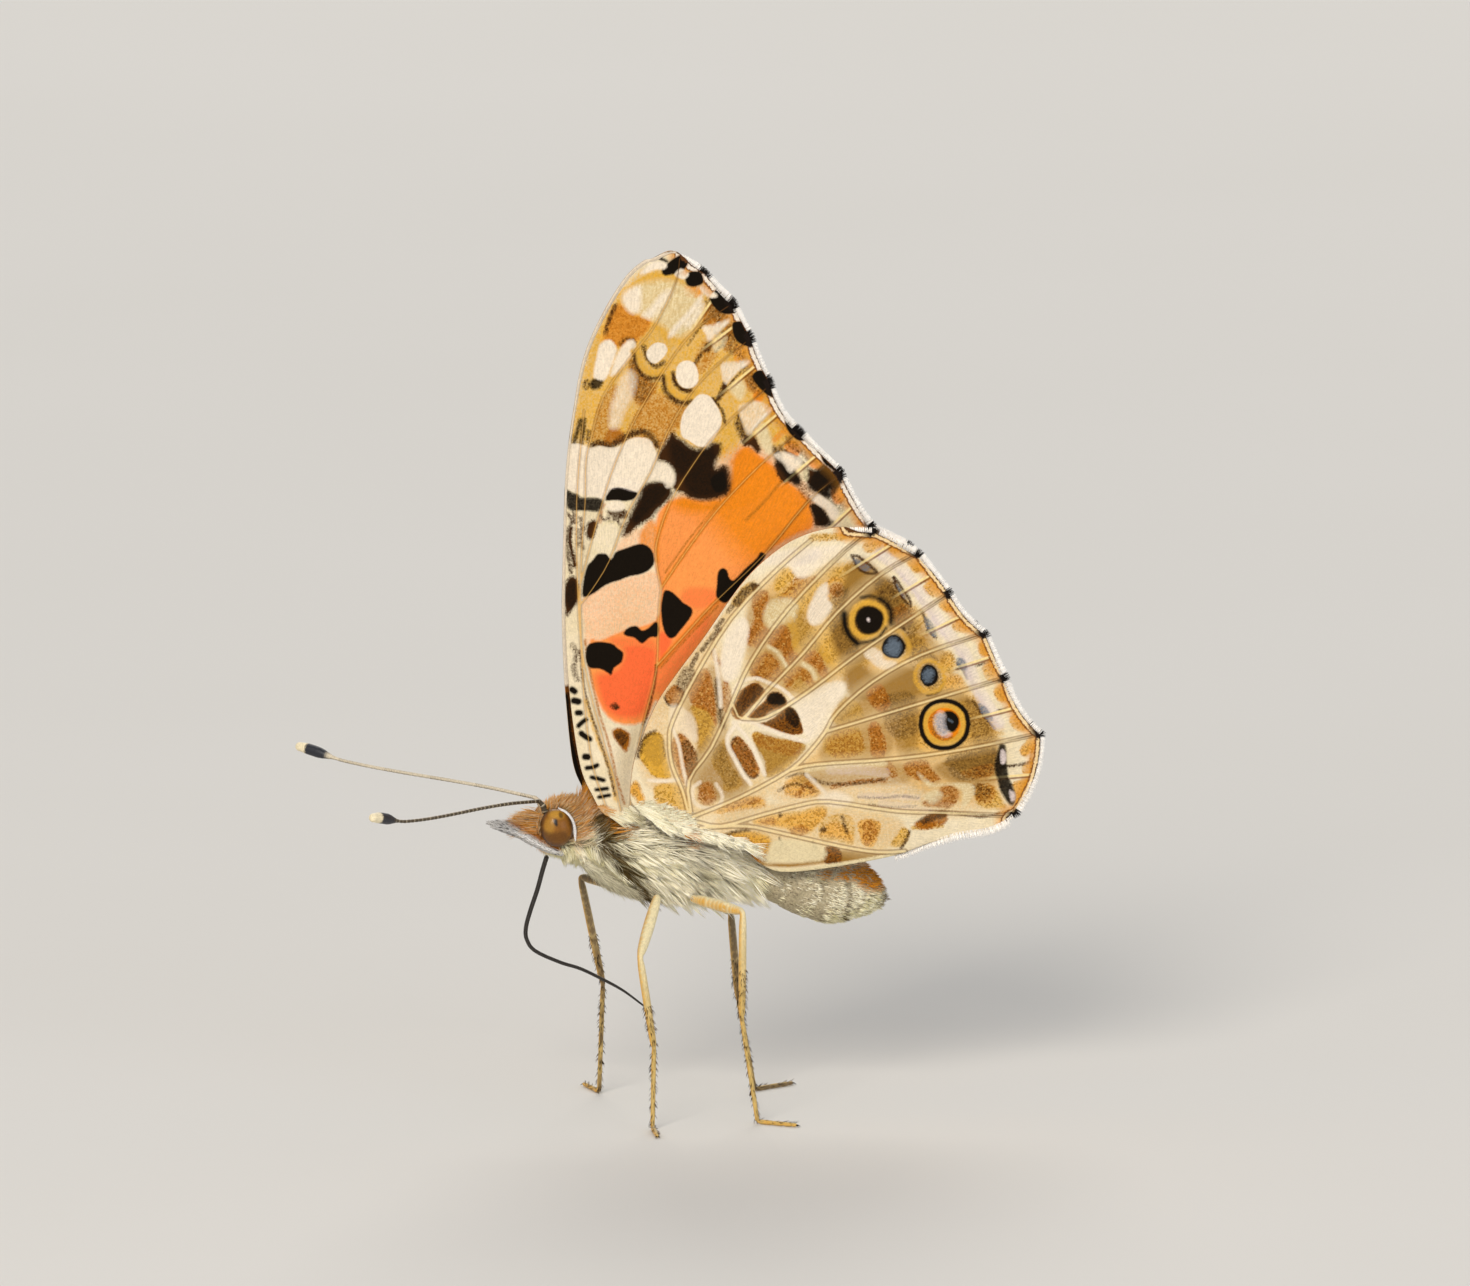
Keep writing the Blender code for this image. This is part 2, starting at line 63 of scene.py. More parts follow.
# Wings: the same edges and veins as the solid ones, with a thinner membrane
SPACING = 0.1
ROW_RISE = 0.866
MEMBRANE = 0.16
VEIN_RIDGE = 0.07
VEIN_FOOT = 0.13
EDGE_INSET = 0.05
PLEAT = 0.1
FOLD_LENGTH = 2.4
FAR = 9.0
PAIR_STEP = 0.94
WING_MEET = 0.34
WING_SPREAD = 1.88
WING_FALL = 3.8
ROOT_HEIGHT = 1.7
HINDWING_BY_THORAX = 3.05
HINDWING_BY_ABDOMEN = 2.5
HINDWING_BEHIND = 1.5

# Vanes of the fringe and of the pale hem after it, and the half width of the dark patch at each vein end
FRINGE = 0.3
HEM = 0.34
HEM_REACH = 6.5
VANES_PER_STEP = 8
VANE_ROOT = 0.12
FORE_PATCH, HIND_PATCH = 0.37, 0.25

FOREWING_COSTA = [
    (-1.5, 1.7), (-2.15, 2.15), (-2.6, 2.95), (-3, 3.75), (-3.3, 4.8), (-3.6, 6.6), (-3.85, 8.85),
    (-4, 11.25), (-4.05, 13.4), (-4, 16.6), (-3.9, 19.8), (-3.55, 23), (-2.9, 26.2), (-1.85, 28.6),
    (-0.65, 30.5), (0.3, 31.35), (0.8, 31.5), (1.7, 31.9), (2.45, 31.75), (3.05, 31.4),
]
FOREWING_VEIN_ENDS = [
    (3.65, 31), (5.2, 29.4), (6.15, 27.55), (7.2, 25.1), (8.7, 22.6), (10.95, 20.35), (12.7, 17.35),
]
FOREWING_SCALLOPS = (0.04, 0.04, 0.1, 0.28, 0.04, 0.14)
FOREWING_INNER = [
    (12.2, 16.3), (9.35, 12.85), (6.15, 9.35), (3.2, 6.15), (1.3, 3.75), (0.25, 2.5), (-0.55, 1.85),
]
FOREWING_VEINS = {
    "subcosta": [
        (-1.8, 2.25), (-2.55, 4.55), (-2.95, 7.5), (-3.2, 11.25), (-3.35, 13.9), (-3.4, 18.7), (-3.0, 23.5),
    ],
    "radius": [
        (-1.05, 2.15), (-1.45, 4), (-2, 5.9), (-2.7, 8.55), (-3.1, 10.7), (-3.2, 12.85), (-3.2, 14.2),
        (-3.1, 16.6), (-2.95, 18.55), (-2.9, 20.8), (-2.6, 22.1), (-1.95, 24.3), (-0.45, 26.45),
        (0.55, 27.7), (1.3, 29), (1.95, 30.5), (2.1, 31.6),
    ],
    "median_1": [
        (-3.2, 14.2), (-2.7, 16.15), (-2.05, 18.55), (-1.3, 20.8), (-0.05, 23.5), (1.8, 26.45), (3.15, 28),
        (5.2, 29.4),
    ],
    "median_2": [
        (-3.15, 13.2), (-2.55, 14), (-1.65, 15.5), (-0.7, 18), (0.55, 20.2), (1.4, 22.25), (2.6, 24.3),
        (4.05, 25.9), (6.15, 27.55),
    ],
    "cubitus": [(-0.55, 2.25), (-0.3, 4.55), (0.15, 6.8), (0.85, 9.65), (0.95, 12.3), (1.1, 14)],
    "median_3": [
        (1.1, 14), (0.85, 15.45), (0.9, 16.6), (1.6, 18.6), (2.8, 20.6), (4.35, 22.6), (7.2, 25.1),
    ],
    "cubitus_1": [(1.1, 14), (2.45, 16), (4.15, 18.25), (6.4, 20.6), (8.7, 22.6)],
    "cubitus_2": [(0.9, 9.9), (2.4, 11.55), (3.85, 13.15), (6.7, 15.9), (8.9, 18.6), (10.95, 20.35)],
    "anal_2": [(-0.2, 2.35), (3.2, 6.55), (7.5, 11.45), (10.15, 14.7), (12.7, 17.35)],
}

HINDWING_COSTA = [
    (0, 2.05), (-0.55, 2.7), (-0.45, 4.3), (-0.1, 5.6), (0.8, 7.75), (1.85, 9.35), (3.35, 11.35),
    (5.35, 14.2), (6.95, 15.8), (8.55, 16.8), (10.45, 17.3),
]
HINDWING_VEIN_ENDS = [
    (12.65, 17.25), (15.1, 16.05), (16.75, 13.9), (18.7, 11.7), (19.8, 9.3), (21.7, 6.3), (20.35, 1.8),
]
HINDWING_SCALLOPS = (0, 0, 0.2, 0.04, 0.3, -0.4)
HINDWING_INNER = [
    (18.7, 1.05), (17.1, 0.8), (15.25, 0.25), (13.9, -0.25), (12.1, -0.65), (9.65, -1.05), (7.5, -1.2),
    (6.25, -0.65), (5.45, 0.2), (4, 0.65), (2.15, 0.95), (0.8, 1.35),
]
HINDWING_VEINS = {
    "subcosta": [
        (2.55, 2.05), (2.25, 3.2), (1.7, 4.55), (1.55, 5.9), (1.75, 6.95), (2.9, 9.25), (4.85, 12.4),
        (7.3, 15), (9.15, 16.6),
    ],
    "sector": [
        (2.7, 2.05), (2.6, 3.75), (3.8, 5.5), (4.9, 7.9), (5.95, 10.15), (7.9, 12.9), (10.95, 16.05),
        (12.65, 17.25),
    ],
    "median_1": [
        (4.9, 7.9), (5.45, 7.05), (6.65, 8.4), (8.75, 10.6), (10.55, 12.75), (12.9, 14.8), (15.1, 16.05),
    ],
    "median_2": [(5.45, 7.05), (6.8, 7.15), (9.05, 8.55), (11.55, 10.45), (14.3, 12.3), (16.75, 13.9)],
    "cubitus": [(2.8, 1.8), (5.35, 2.85), (8, 4.3), (9.2, 5.45), (9.9, 6.35)],
    "median_3": [(9.9, 6.35), (10.55, 7.4), (12.4, 9), (15, 10.45), (18.7, 11.7)],
    "cubitus_1": [(9.9, 6.35), (13.1, 7.3), (16.6, 8.35), (19.8, 9.3)],
    "cubitus_2": [(8, 4.3), (9.45, 4.6), (13.65, 4.9), (17.3, 5.4), (21.7, 6.3)],
    "anal_2": [
        (2.9, 1.55), (4.3, 1.3), (6.35, 1.85), (8.45, 2.4), (10.1, 2.6), (13.65, 2.1), (16.25, 2),
        (20.35, 1.8),
    ],
    "anal_3": [(3.2, 1.2), (5.6, 1.3), (7.4, 0.95), (10.75, 0.2), (12.65, -0.1), (14.2, -0.05)],
}

# Where hair grows along the roots of the wings
FOREWING_ROOT = [(-2.0, 2.0), (-1.5, 1.7), (-0.55, 1.9)]
HINDWING_ROOT = [(0, 2.05), (0.8, 1.35), (2.15, 0.95), (4, 0.65), (5.4, 0.2)]
HINDWING_CREASE = [(0.2, 1.95), (2.2, 1.3)]

# Marks of the patterns. A brush is an ink, a strength, a softness and a half width, or 0 where the mark is
# filled. It goes on until the next one.
FORE_MARKS = """
ochre .85 .3 0: -75,439 -73,455 -64,498 -54,535 -40,569 -19,599 5,618 30,621 54,605 77,588 96,567 112,540
  125,519 137,498 148,482 166,455 171,439 150,428 128,433 112,443 102,428 83,419 77,435 61,429 45,439 32,442
  16,426 5,434 -11,439 -32,431 -54,433;
ochre .7 .1 .13: -79,396 -76,428 -71,460 -63,498 -52,537 -36,574 -19,599;
tan .8 .2 0: -19,588 -9,601 11,610 34,607 54,595 66,588 64,569 54,552 34,544 21,552 11,565 -4,571 -15,578;
buff .75 .25 0: -6,599 11,606 39,606 64,586 63,569 51,554 39,550 26,561 11,569 0,576;
white .7 .2 .13: 11,571 21,582 30,595;
51,562 60,571 65,582;
ochre .6 .12 .086: 21,561 36,579 47,595;
ochre .5 .12 .08: 2,576 12,591 17,601;
olive .6 .12 .064: 43,554 54,567 64,582;
white .8 .1 0: 67,559 78,561 93,567 95,565 83,553 73,544 71,550;
buff .6 .12 0: 79,544 88,552 92,548 88,537 79,533;
white .75 .12 0: 88,520 102,521 116,524 109,517 98,506 92,499 88,507;
buff .75 .15 0: 96,494 107,503 112,494 108,482 102,485;
white .6 .15 0: 106,473 116,477 124,479 138,472 125,455 116,445 111,456;
buff .85 .12 0: 124,447 132,456 137,448 141,433 140,423 134,426 128,435;
white .75 .1 0: 143,423 155,425 166,421 173,416 167,409 160,404 153,414;
white .7 .1 0: 182,378 190,380 199,374 208,367 212,360 205,354 199,364 190,370;
buff .7 .12 0: 169,407 174,413 179,404 178,396 172,398;
buff .9 .1 0: 212,360 225,366 235,357 227,347 216,345;
white .95 .15 0: -19,591 -12,599 0,602 1,588 -1,575 -10,574 -17,582;
white .9 .15 0: 2,571 11,580 21,592 28,598 27,588 19,579 13,569;
white .95 .12 0: 30,548 33,556 47,571 58,584 65,593 66,587 58,575 45,561 34,549;
white .9 .08 .096: 73,548 82,556 93,565;
93,502 104,514 116,522;
118,449 128,460 140,472;
white 1 .07 0: -43,540 -36,545 -30,544 -25,535 -29,522 -34,508 -39,502 -45,503 -50,507 -47,524;
0,616 9,625 18,629 28,627 27,621 16,620 6,616;
white .95 .08 0: -20,537 -14,544 -7,545 -5,538 -11,534 -10,528 -16,519 -26,509 -32,507 -28,521 -24,531;
white .6 .25 0: -21,498 -13,511 -6,505 -9,487 -17,471 -24,454 -31,454 -29,476;
white 1 .04 0: 7,533 16,542 26,541 29,533 21,523 15,520 9,524;
39,516 47,523 57,521 62,510 61,499 54,494 45,495 39,503;
43,453 46,467 55,479 63,487 73,486 79,479 85,469 87,458 83,447 77,438 70,432 61,432 52,438 45,442;
white .9 .05 0: -78,388 -77,407 -76,432 -64,434 -54,430 -43,432 -32,430 -21,432 -15,437 -6,441 2,441 11,438
  17,426 18,419 13,409 5,398 1,388 -4,383 -11,386 -21,388 -30,387 -35,381 -40,376 -48,378 -60,379 -66,382
  -73,384;
white .8 .12 0: 14,411 19,414 29,412 36,402 36,392 29,388 25,394 16,396 7,395 11,404;
white .8 .08 0: -36,368 -30,373 -21,373 -16,368 -21,363 -31,363;
buff .85 .1 0: -51,318 -47,334 -42,347 -32,352 -22,346 -24,334 -29,323 -36,318 -45,317;
white .4 .2 0: -47,323 -43,342 -30,347 -26,338 -34,321;
violet .5 .15 0: -31,394 -19,396 -3,393 -5,385 -21,389 -32,388;
salmon 1 .1 0: 17,353 26,369 43,377 86,374 98,396 102,423 116,432 131,419 148,407 160,392 178,377 184,362
  184,345 166,338 139,321 112,294 96,268 81,244 64,216 48,195 30,171 21,156 16,160 3,137 -27,137 -45,160
  -54,193 -54,225 -43,225 -19,235 16,246 21,268 22,280 17,300 16,319;
salmon .38 .3 0: -58,268 -43,276 -21,286 0,291 16,295 20,278 18,259 15,245 0,239 -19,233 -37,224 -54,221
  -56,241;
salmon .3 .3 0: 0,326 5,337 -9,340 -16,332 -21,321;
coral .95 .25 0: -19,219 0,221 16,216 18,203 15,182 9,160 3,146 -9,141 -27,143 -39,154 -45,171 -47,187
  -36,190 -24,195 -17,209;
coral .6 .3 0: -30,225 0,225 13,223 17,209 -11,214;
coral .95 .12 0: 21,233 29,231 34,224 30,214 22,201 20,214;
coral .5 .3 0: 54,278 77,276 79,265 64,261 54,263 46,270;
24,203 64,248 71,242 39,195 21,171 18,182;
orange .9 .35 0: 34,371 47,380 64,374 86,374 98,385 95,404 94,417 104,428 113,433 125,425 139,415 150,402
  148,391 137,378 120,366 102,360 80,360 64,360 47,362 39,366;
orange .8 .15 0: 0,326 2,342 11,353 18,345 17,326 17,310 11,319;
orange .85 .9 0: 64,374 118,428 184,374 184,342 152,323 124,308 102,324 80,351;
orange .8 .4 0: 150,391 166,392 180,377 184,362 184,347 169,340 155,353 146,369 146,383;
orange .7 .1 .086: 25,285 49,320 83,365 112,396 139,421;
orange .6 .12 .11: 19,198 48,231 80,264 134,318 178,371;
orange .7 .12 .096: 18,310 18,332 24,350 32,372;
rust .7 .06 .037: 22,195 51,228 83,261;
27,297 51,331 86,374;
rust .7 .08 .048: 113,353 131,371 150,393;
rust .7 .1 .059: 135,321 158,347 180,374;
gold .8 .12 .13: 81,334 109,362 131,382 154,404;
ochre .95 .1 0: -11,606 5,615 21,618 34,615 47,610 54,599 47,599 32,609 16,611 0,606;
gold .9 .1 0: -43,542 -40,556 -32,572 -22,586 -17,580 -13,575 0,572 13,567 9,556 1,548 -6,540 -19,538
  -32,542;
orange .5 .2 0: -36,546 -34,562 -26,580 -17,578 -6,569 9,565 2,552 -9,544 -24,540;
rust .5 .2 0: -36,546 -34,562 -26,580 -17,578 -6,569 9,565 2,552 -9,544 -24,540;
64,535 73,546 81,535 77,524 64,511 58,518;
rust .6 .15 .075: -4,565 -13,552 -19,540;
orange .5 .1 0: 47,599 54,605 62,602 66,596 60,591 51,592;
100,535 107,541 112,535 111,524 103,522;
rust .75 .08 0: 67,565 72,578 77,585 88,580 94,572 90,564 79,559 70,560;
rust .6 .12 0: 88,552 96,562 104,556 103,544 96,535 90,535;
rust .8 .12 0: 111,505 119,513 125,503 123,490 116,492;
orange .9 .08 0: 122,490 128,494 133,486 128,479 121,482;
orange .8 .08 0: 154,432 160,439 171,432 169,422 160,419;
180,415 187,421 195,415 193,407 183,409;
orange .85 .08 0: 203,385 212,389 218,381 216,372 208,371;
orange .7 .08 0: 227,353 233,360 242,355 242,349 231,349;
ochre .9 .15 0: 85,443 94,456 103,449 104,439 96,428 88,419 83,428;
orange .6 .1 .11: 144,439 156,449 171,443;
rust .45 .12 0: -51,439 -49,455 -43,476 -32,492 -25,496 -30,471 -35,452 -39,434;
rust .9 .1 0: -36,447 -28,452 -19,447 -17,439 -28,433 -39,433;
rust .55 .25 0: 16,486 26,484 39,478 49,473 41,455 30,442 21,431 11,434 0,442 -11,443 -6,460 5,476;
rust .7 .2 0: -9,524 0,511 11,502 17,496 9,479 -4,477 -11,498;
umber .4 .2 0: -9,522 0,507 11,499 5,482 -6,486;
171,392 184,381 199,374 210,377 220,368 214,362 195,366 175,379;
rust .9 .06 0: 96,584 100,584 106,571 105,568 100,576;
umber .8 .06 0: 107,566 113,564 112,559 107,561;
umber .8 .08 .08: 59,520 67,533 76,541;
-71,361 -70,351;
umber .8 .08 .096: -37,552 -33,567 -26,582;
umber .85 .12 .16: -51,432 -43,435 -32,432 -21,439 -13,443 0,447 11,443 18,432;
black .95 .08 0: -54,500 -47,505 -39,502 -43,494 -51,492;
umber .6 .08 0: -61,499 -56,503 -54,496 -59,492;
umber .8 .1 .075: -9,537 -6,544 -15,546 -21,541;
umber .9 .06 .08: 77,483 83,476 89,467 90,456;
umber .95 .08 0: 85,491 89,501 94,496 92,490 83,479 78,480;
umber .7 .06 .048: 94,496 107,511 120,524;
umber .9 .12 0: 68,538 74,545 78,540 74,534 67,532;
umber .9 .1 0: 104,467 108,460 112,449 111,441 107,441 105,454;
-36,362 -28,363 -17,364 -13,358 -19,354 -30,356;
umber .6 .06 .053: 51,540 64,559 79,576;
81,533 94,548 107,561;
umber .7 .06 .053: 120,449 133,464 146,477;
umber .45 .22 0: 73,588 88,578 101,565 106,552 96,555 83,566 72,578;
109,526 121,520 132,505 137,489 126,490 116,503 109,515;
139,479 151,474 164,462 170,447 157,450 143,464;
umber .4 .22 0: 81,556 94,552 107,540 112,528 102,531 88,541;
umber .55 .2 0: 158,443 172,439 184,431 195,419 184,416 171,425 159,432;
umber .75 .14 0: 104,462 110,452 120,442 128,430 125,426 116,434 106,443 102,454;
black 1 .06 0: 23,620 31,629 41,636 49,639 56,634 52,626 45,618 34,615 26,614;
61,626 70,624 79,615 88,605 80,606 70,615 62,617;
48,610 52,618 62,619 67,615 68,606 59,602 51,603;
black .97 .06 .096: 20,633 28,629;
white 1 .06 0: 37,615 42,621 47,620 52,615 47,610 42,611;
51,626 57,630 62,627 60,622 55,622;
64,600 68,603 77,598 83,592 77,590 70,593;
rust 1 .08 .14: 50,622 56,620;
68,610 76,602;
black 1 .05 0: 74,589 81,600 92,603 103,592 112,578 100,573 89,573 81,578;
98,563 107,566 120,565 126,554 131,541 120,537 107,541 100,549;
119,506 129,514 141,504 151,492 143,483 131,490;
154,460 165,467 181,454 184,442 171,437 159,446;
-37,374 -34,385 -28,388 -19,388 -10,385 -3,383 -6,376 -16,373 -30,374;
-61,271 -61,286 -57,303 -51,310 -45,317 -36,317 -31,311 -26,319 -15,323 -4,327 5,327 13,320 15,308 10,300
  0,295 -11,293 -21,289 -36,284 -49,275;
-18,232 -13,238 -4,240 2,235 9,238 17,245 20,238 18,228 11,228 2,221 -6,227 -14,229;
25,276 30,278 37,274 46,265 54,260 56,254 51,245 43,235 37,228 31,227 25,236 22,257;
-58,214 -54,221 -43,223 -30,221 -24,216 -18,211 -20,201 -28,195 -31,187 -35,190 -43,194 -54,195 -58,203;
83,297 88,302 93,299 95,292 100,289 112,301 124,312 129,319 134,315 125,303 112,289 102,276 93,265 86,266
  81,272 82,285;
193,425 203,423 215,412 224,400 228,391 219,396 205,407 195,415;
black .9 .08 .11: -71,432 -68,445 -64,459;
black .95 .08 .12: -63,435 -61,447 -60,460;
umber .7 .08 .08: -56,438 -55,448;
-64,355 -62,345 -64,336 -61,323;
umber 1 .1 .096: 4,538 6,529 12,520 18,517 25,521;
umber 1 .1 .13: 35,509 37,501 44,493 54,491;
yellow .7 .08 .11: -2,532 0,521 6,513 16,509 25,514;
yellow .7 .08 .12: 30,509 32,495 41,486 51,484 61,490;
umber .95 .12 .12: -6,529 -4,517 3,507 13,504 22,506;
umber 1 .12 .13: 25,505 27,492 34,483 44,478 54,480;
umber 1 .14 0: 26,434 34,447 40,441 46,438 52,432 61,428 71,430 77,435 86,435 86,425 80,415 81,407 88,411
  93,409 95,396 95,383 88,378 70,374 54,376 45,382 34,387 37,402 30,413 19,417 20,426;
17,394 9,393 2,387 0,378 -6,368 -11,357 -17,345 -19,336 -11,338 -2,347 11,354 19,364 28,372 34,381 32,389
  26,394;
black .75 .3 0: 34,439 54,428 77,431 81,422 77,407 93,407 94,385 70,378 54,381 45,398 34,415;
black 1 .15 0: 73,398 88,407 93,400 93,385 79,381;
black .8 .25 0: 17,392 4,385 -2,370 -9,355 -6,349 4,355 15,366 26,377 30,385;
umber .8 .08 .075: -42,358 -39,353 -34,355 -31,350 -26,355 -21,347;
black .97 .06 0: -79,385 -75,384 -72,382 -67,381 -63,377 -54,377 -41,376 -40,369 -44,362 -58,363 -72,363
  -78,367;
238,351 244,356 250,352 248,346 240,345;
umber 1 .1 0: -81,263 -81,280 -76,292 -68,291 -65,278 -67,265 -74,255 -79,250;
181,369 188,371 195,366 201,356 202,349 193,346 186,347 185,357;
143,413 150,415 158,407 164,406 170,399 169,392 160,394 154,392 148,398;
108,437 113,443 120,445 125,439 129,428 125,425 118,432 111,432;
-56,349 -51,353 -46,351 -47,342 -50,334 -55,332 -58,340;
black .7 .15 0: -79,268 -77,285 -70,287 -67,272 -75,259;
black .8 .12 0: 182,369 193,367 201,358 207,349 195,346 186,356;
umber 1 .12 0: 174,398 177,409 184,407 193,407 199,415 205,419 214,414 220,404 223,396 216,393 210,388
  202,385 203,377 195,379 184,386;
black .9 .12 0: 142,432 150,426 155,415 165,407 172,396 168,389 158,396 150,407 144,417;
182,398 190,409 199,416 210,410 221,399 224,389 216,391 210,383 201,376 190,382 180,387;
umber .8 .08 .086: 149,432 156,426 167,419 174,413;
umber .9 .08 0: -32,154 -28,158 -22,154 -26,150;
rust 1 .08 0: -30,128 -21,131 -12,125 -11,116 -15,105 -20,110 -27,119;
umber .8 .12 0: -28,126 -21,128 -14,123 -15,116 -19,111 -25,119;
black 1 .06 .17: -73,172 -70,170;
black 1 .06 .18: -71,160 -66,159;
-59,100 -56,100;
black 1 .06 .16: -67,147 -64,147;
-63,125 -59,122 -54,119;
black 1 .06 .13: -66,133 -62,137 -58,140;
-57,88 -51,89 -46,91;
black 1 .06 .12: -52,78 -46,77 -39,75;
black 1 .06 .11: -47,65 -35,66;
-44,57 -33,59;
umber 1 .08 .12: -74,345 -75,330 -72,315 -70,304;
umber .85 .08 .086: -77,360 -73,351 -77,342 -78,325 -76,310 -74,297;
umber .5 .1 .064: -67,342 -66,326;
rust .6 .08 .075: -39,370 -42,362 -43,351;
umber .6 .15 .08: -72,219 -68,209 -71,195 -67,182;
rust .8 .06 .053: -59,225 -56,203 -51,178 -43,144 -33,112 -25,77 -17,50;
umber .8 .06 .053: -65,214 -61,182 -55,155 -45,123 -35,91 -27,59;
ochre .7 .1 .08: -58,160 -45,118 -32,86 -26,54;
umber .75 .06 .059: 17,198 16,182 12,163 6,141 3,135;
"""

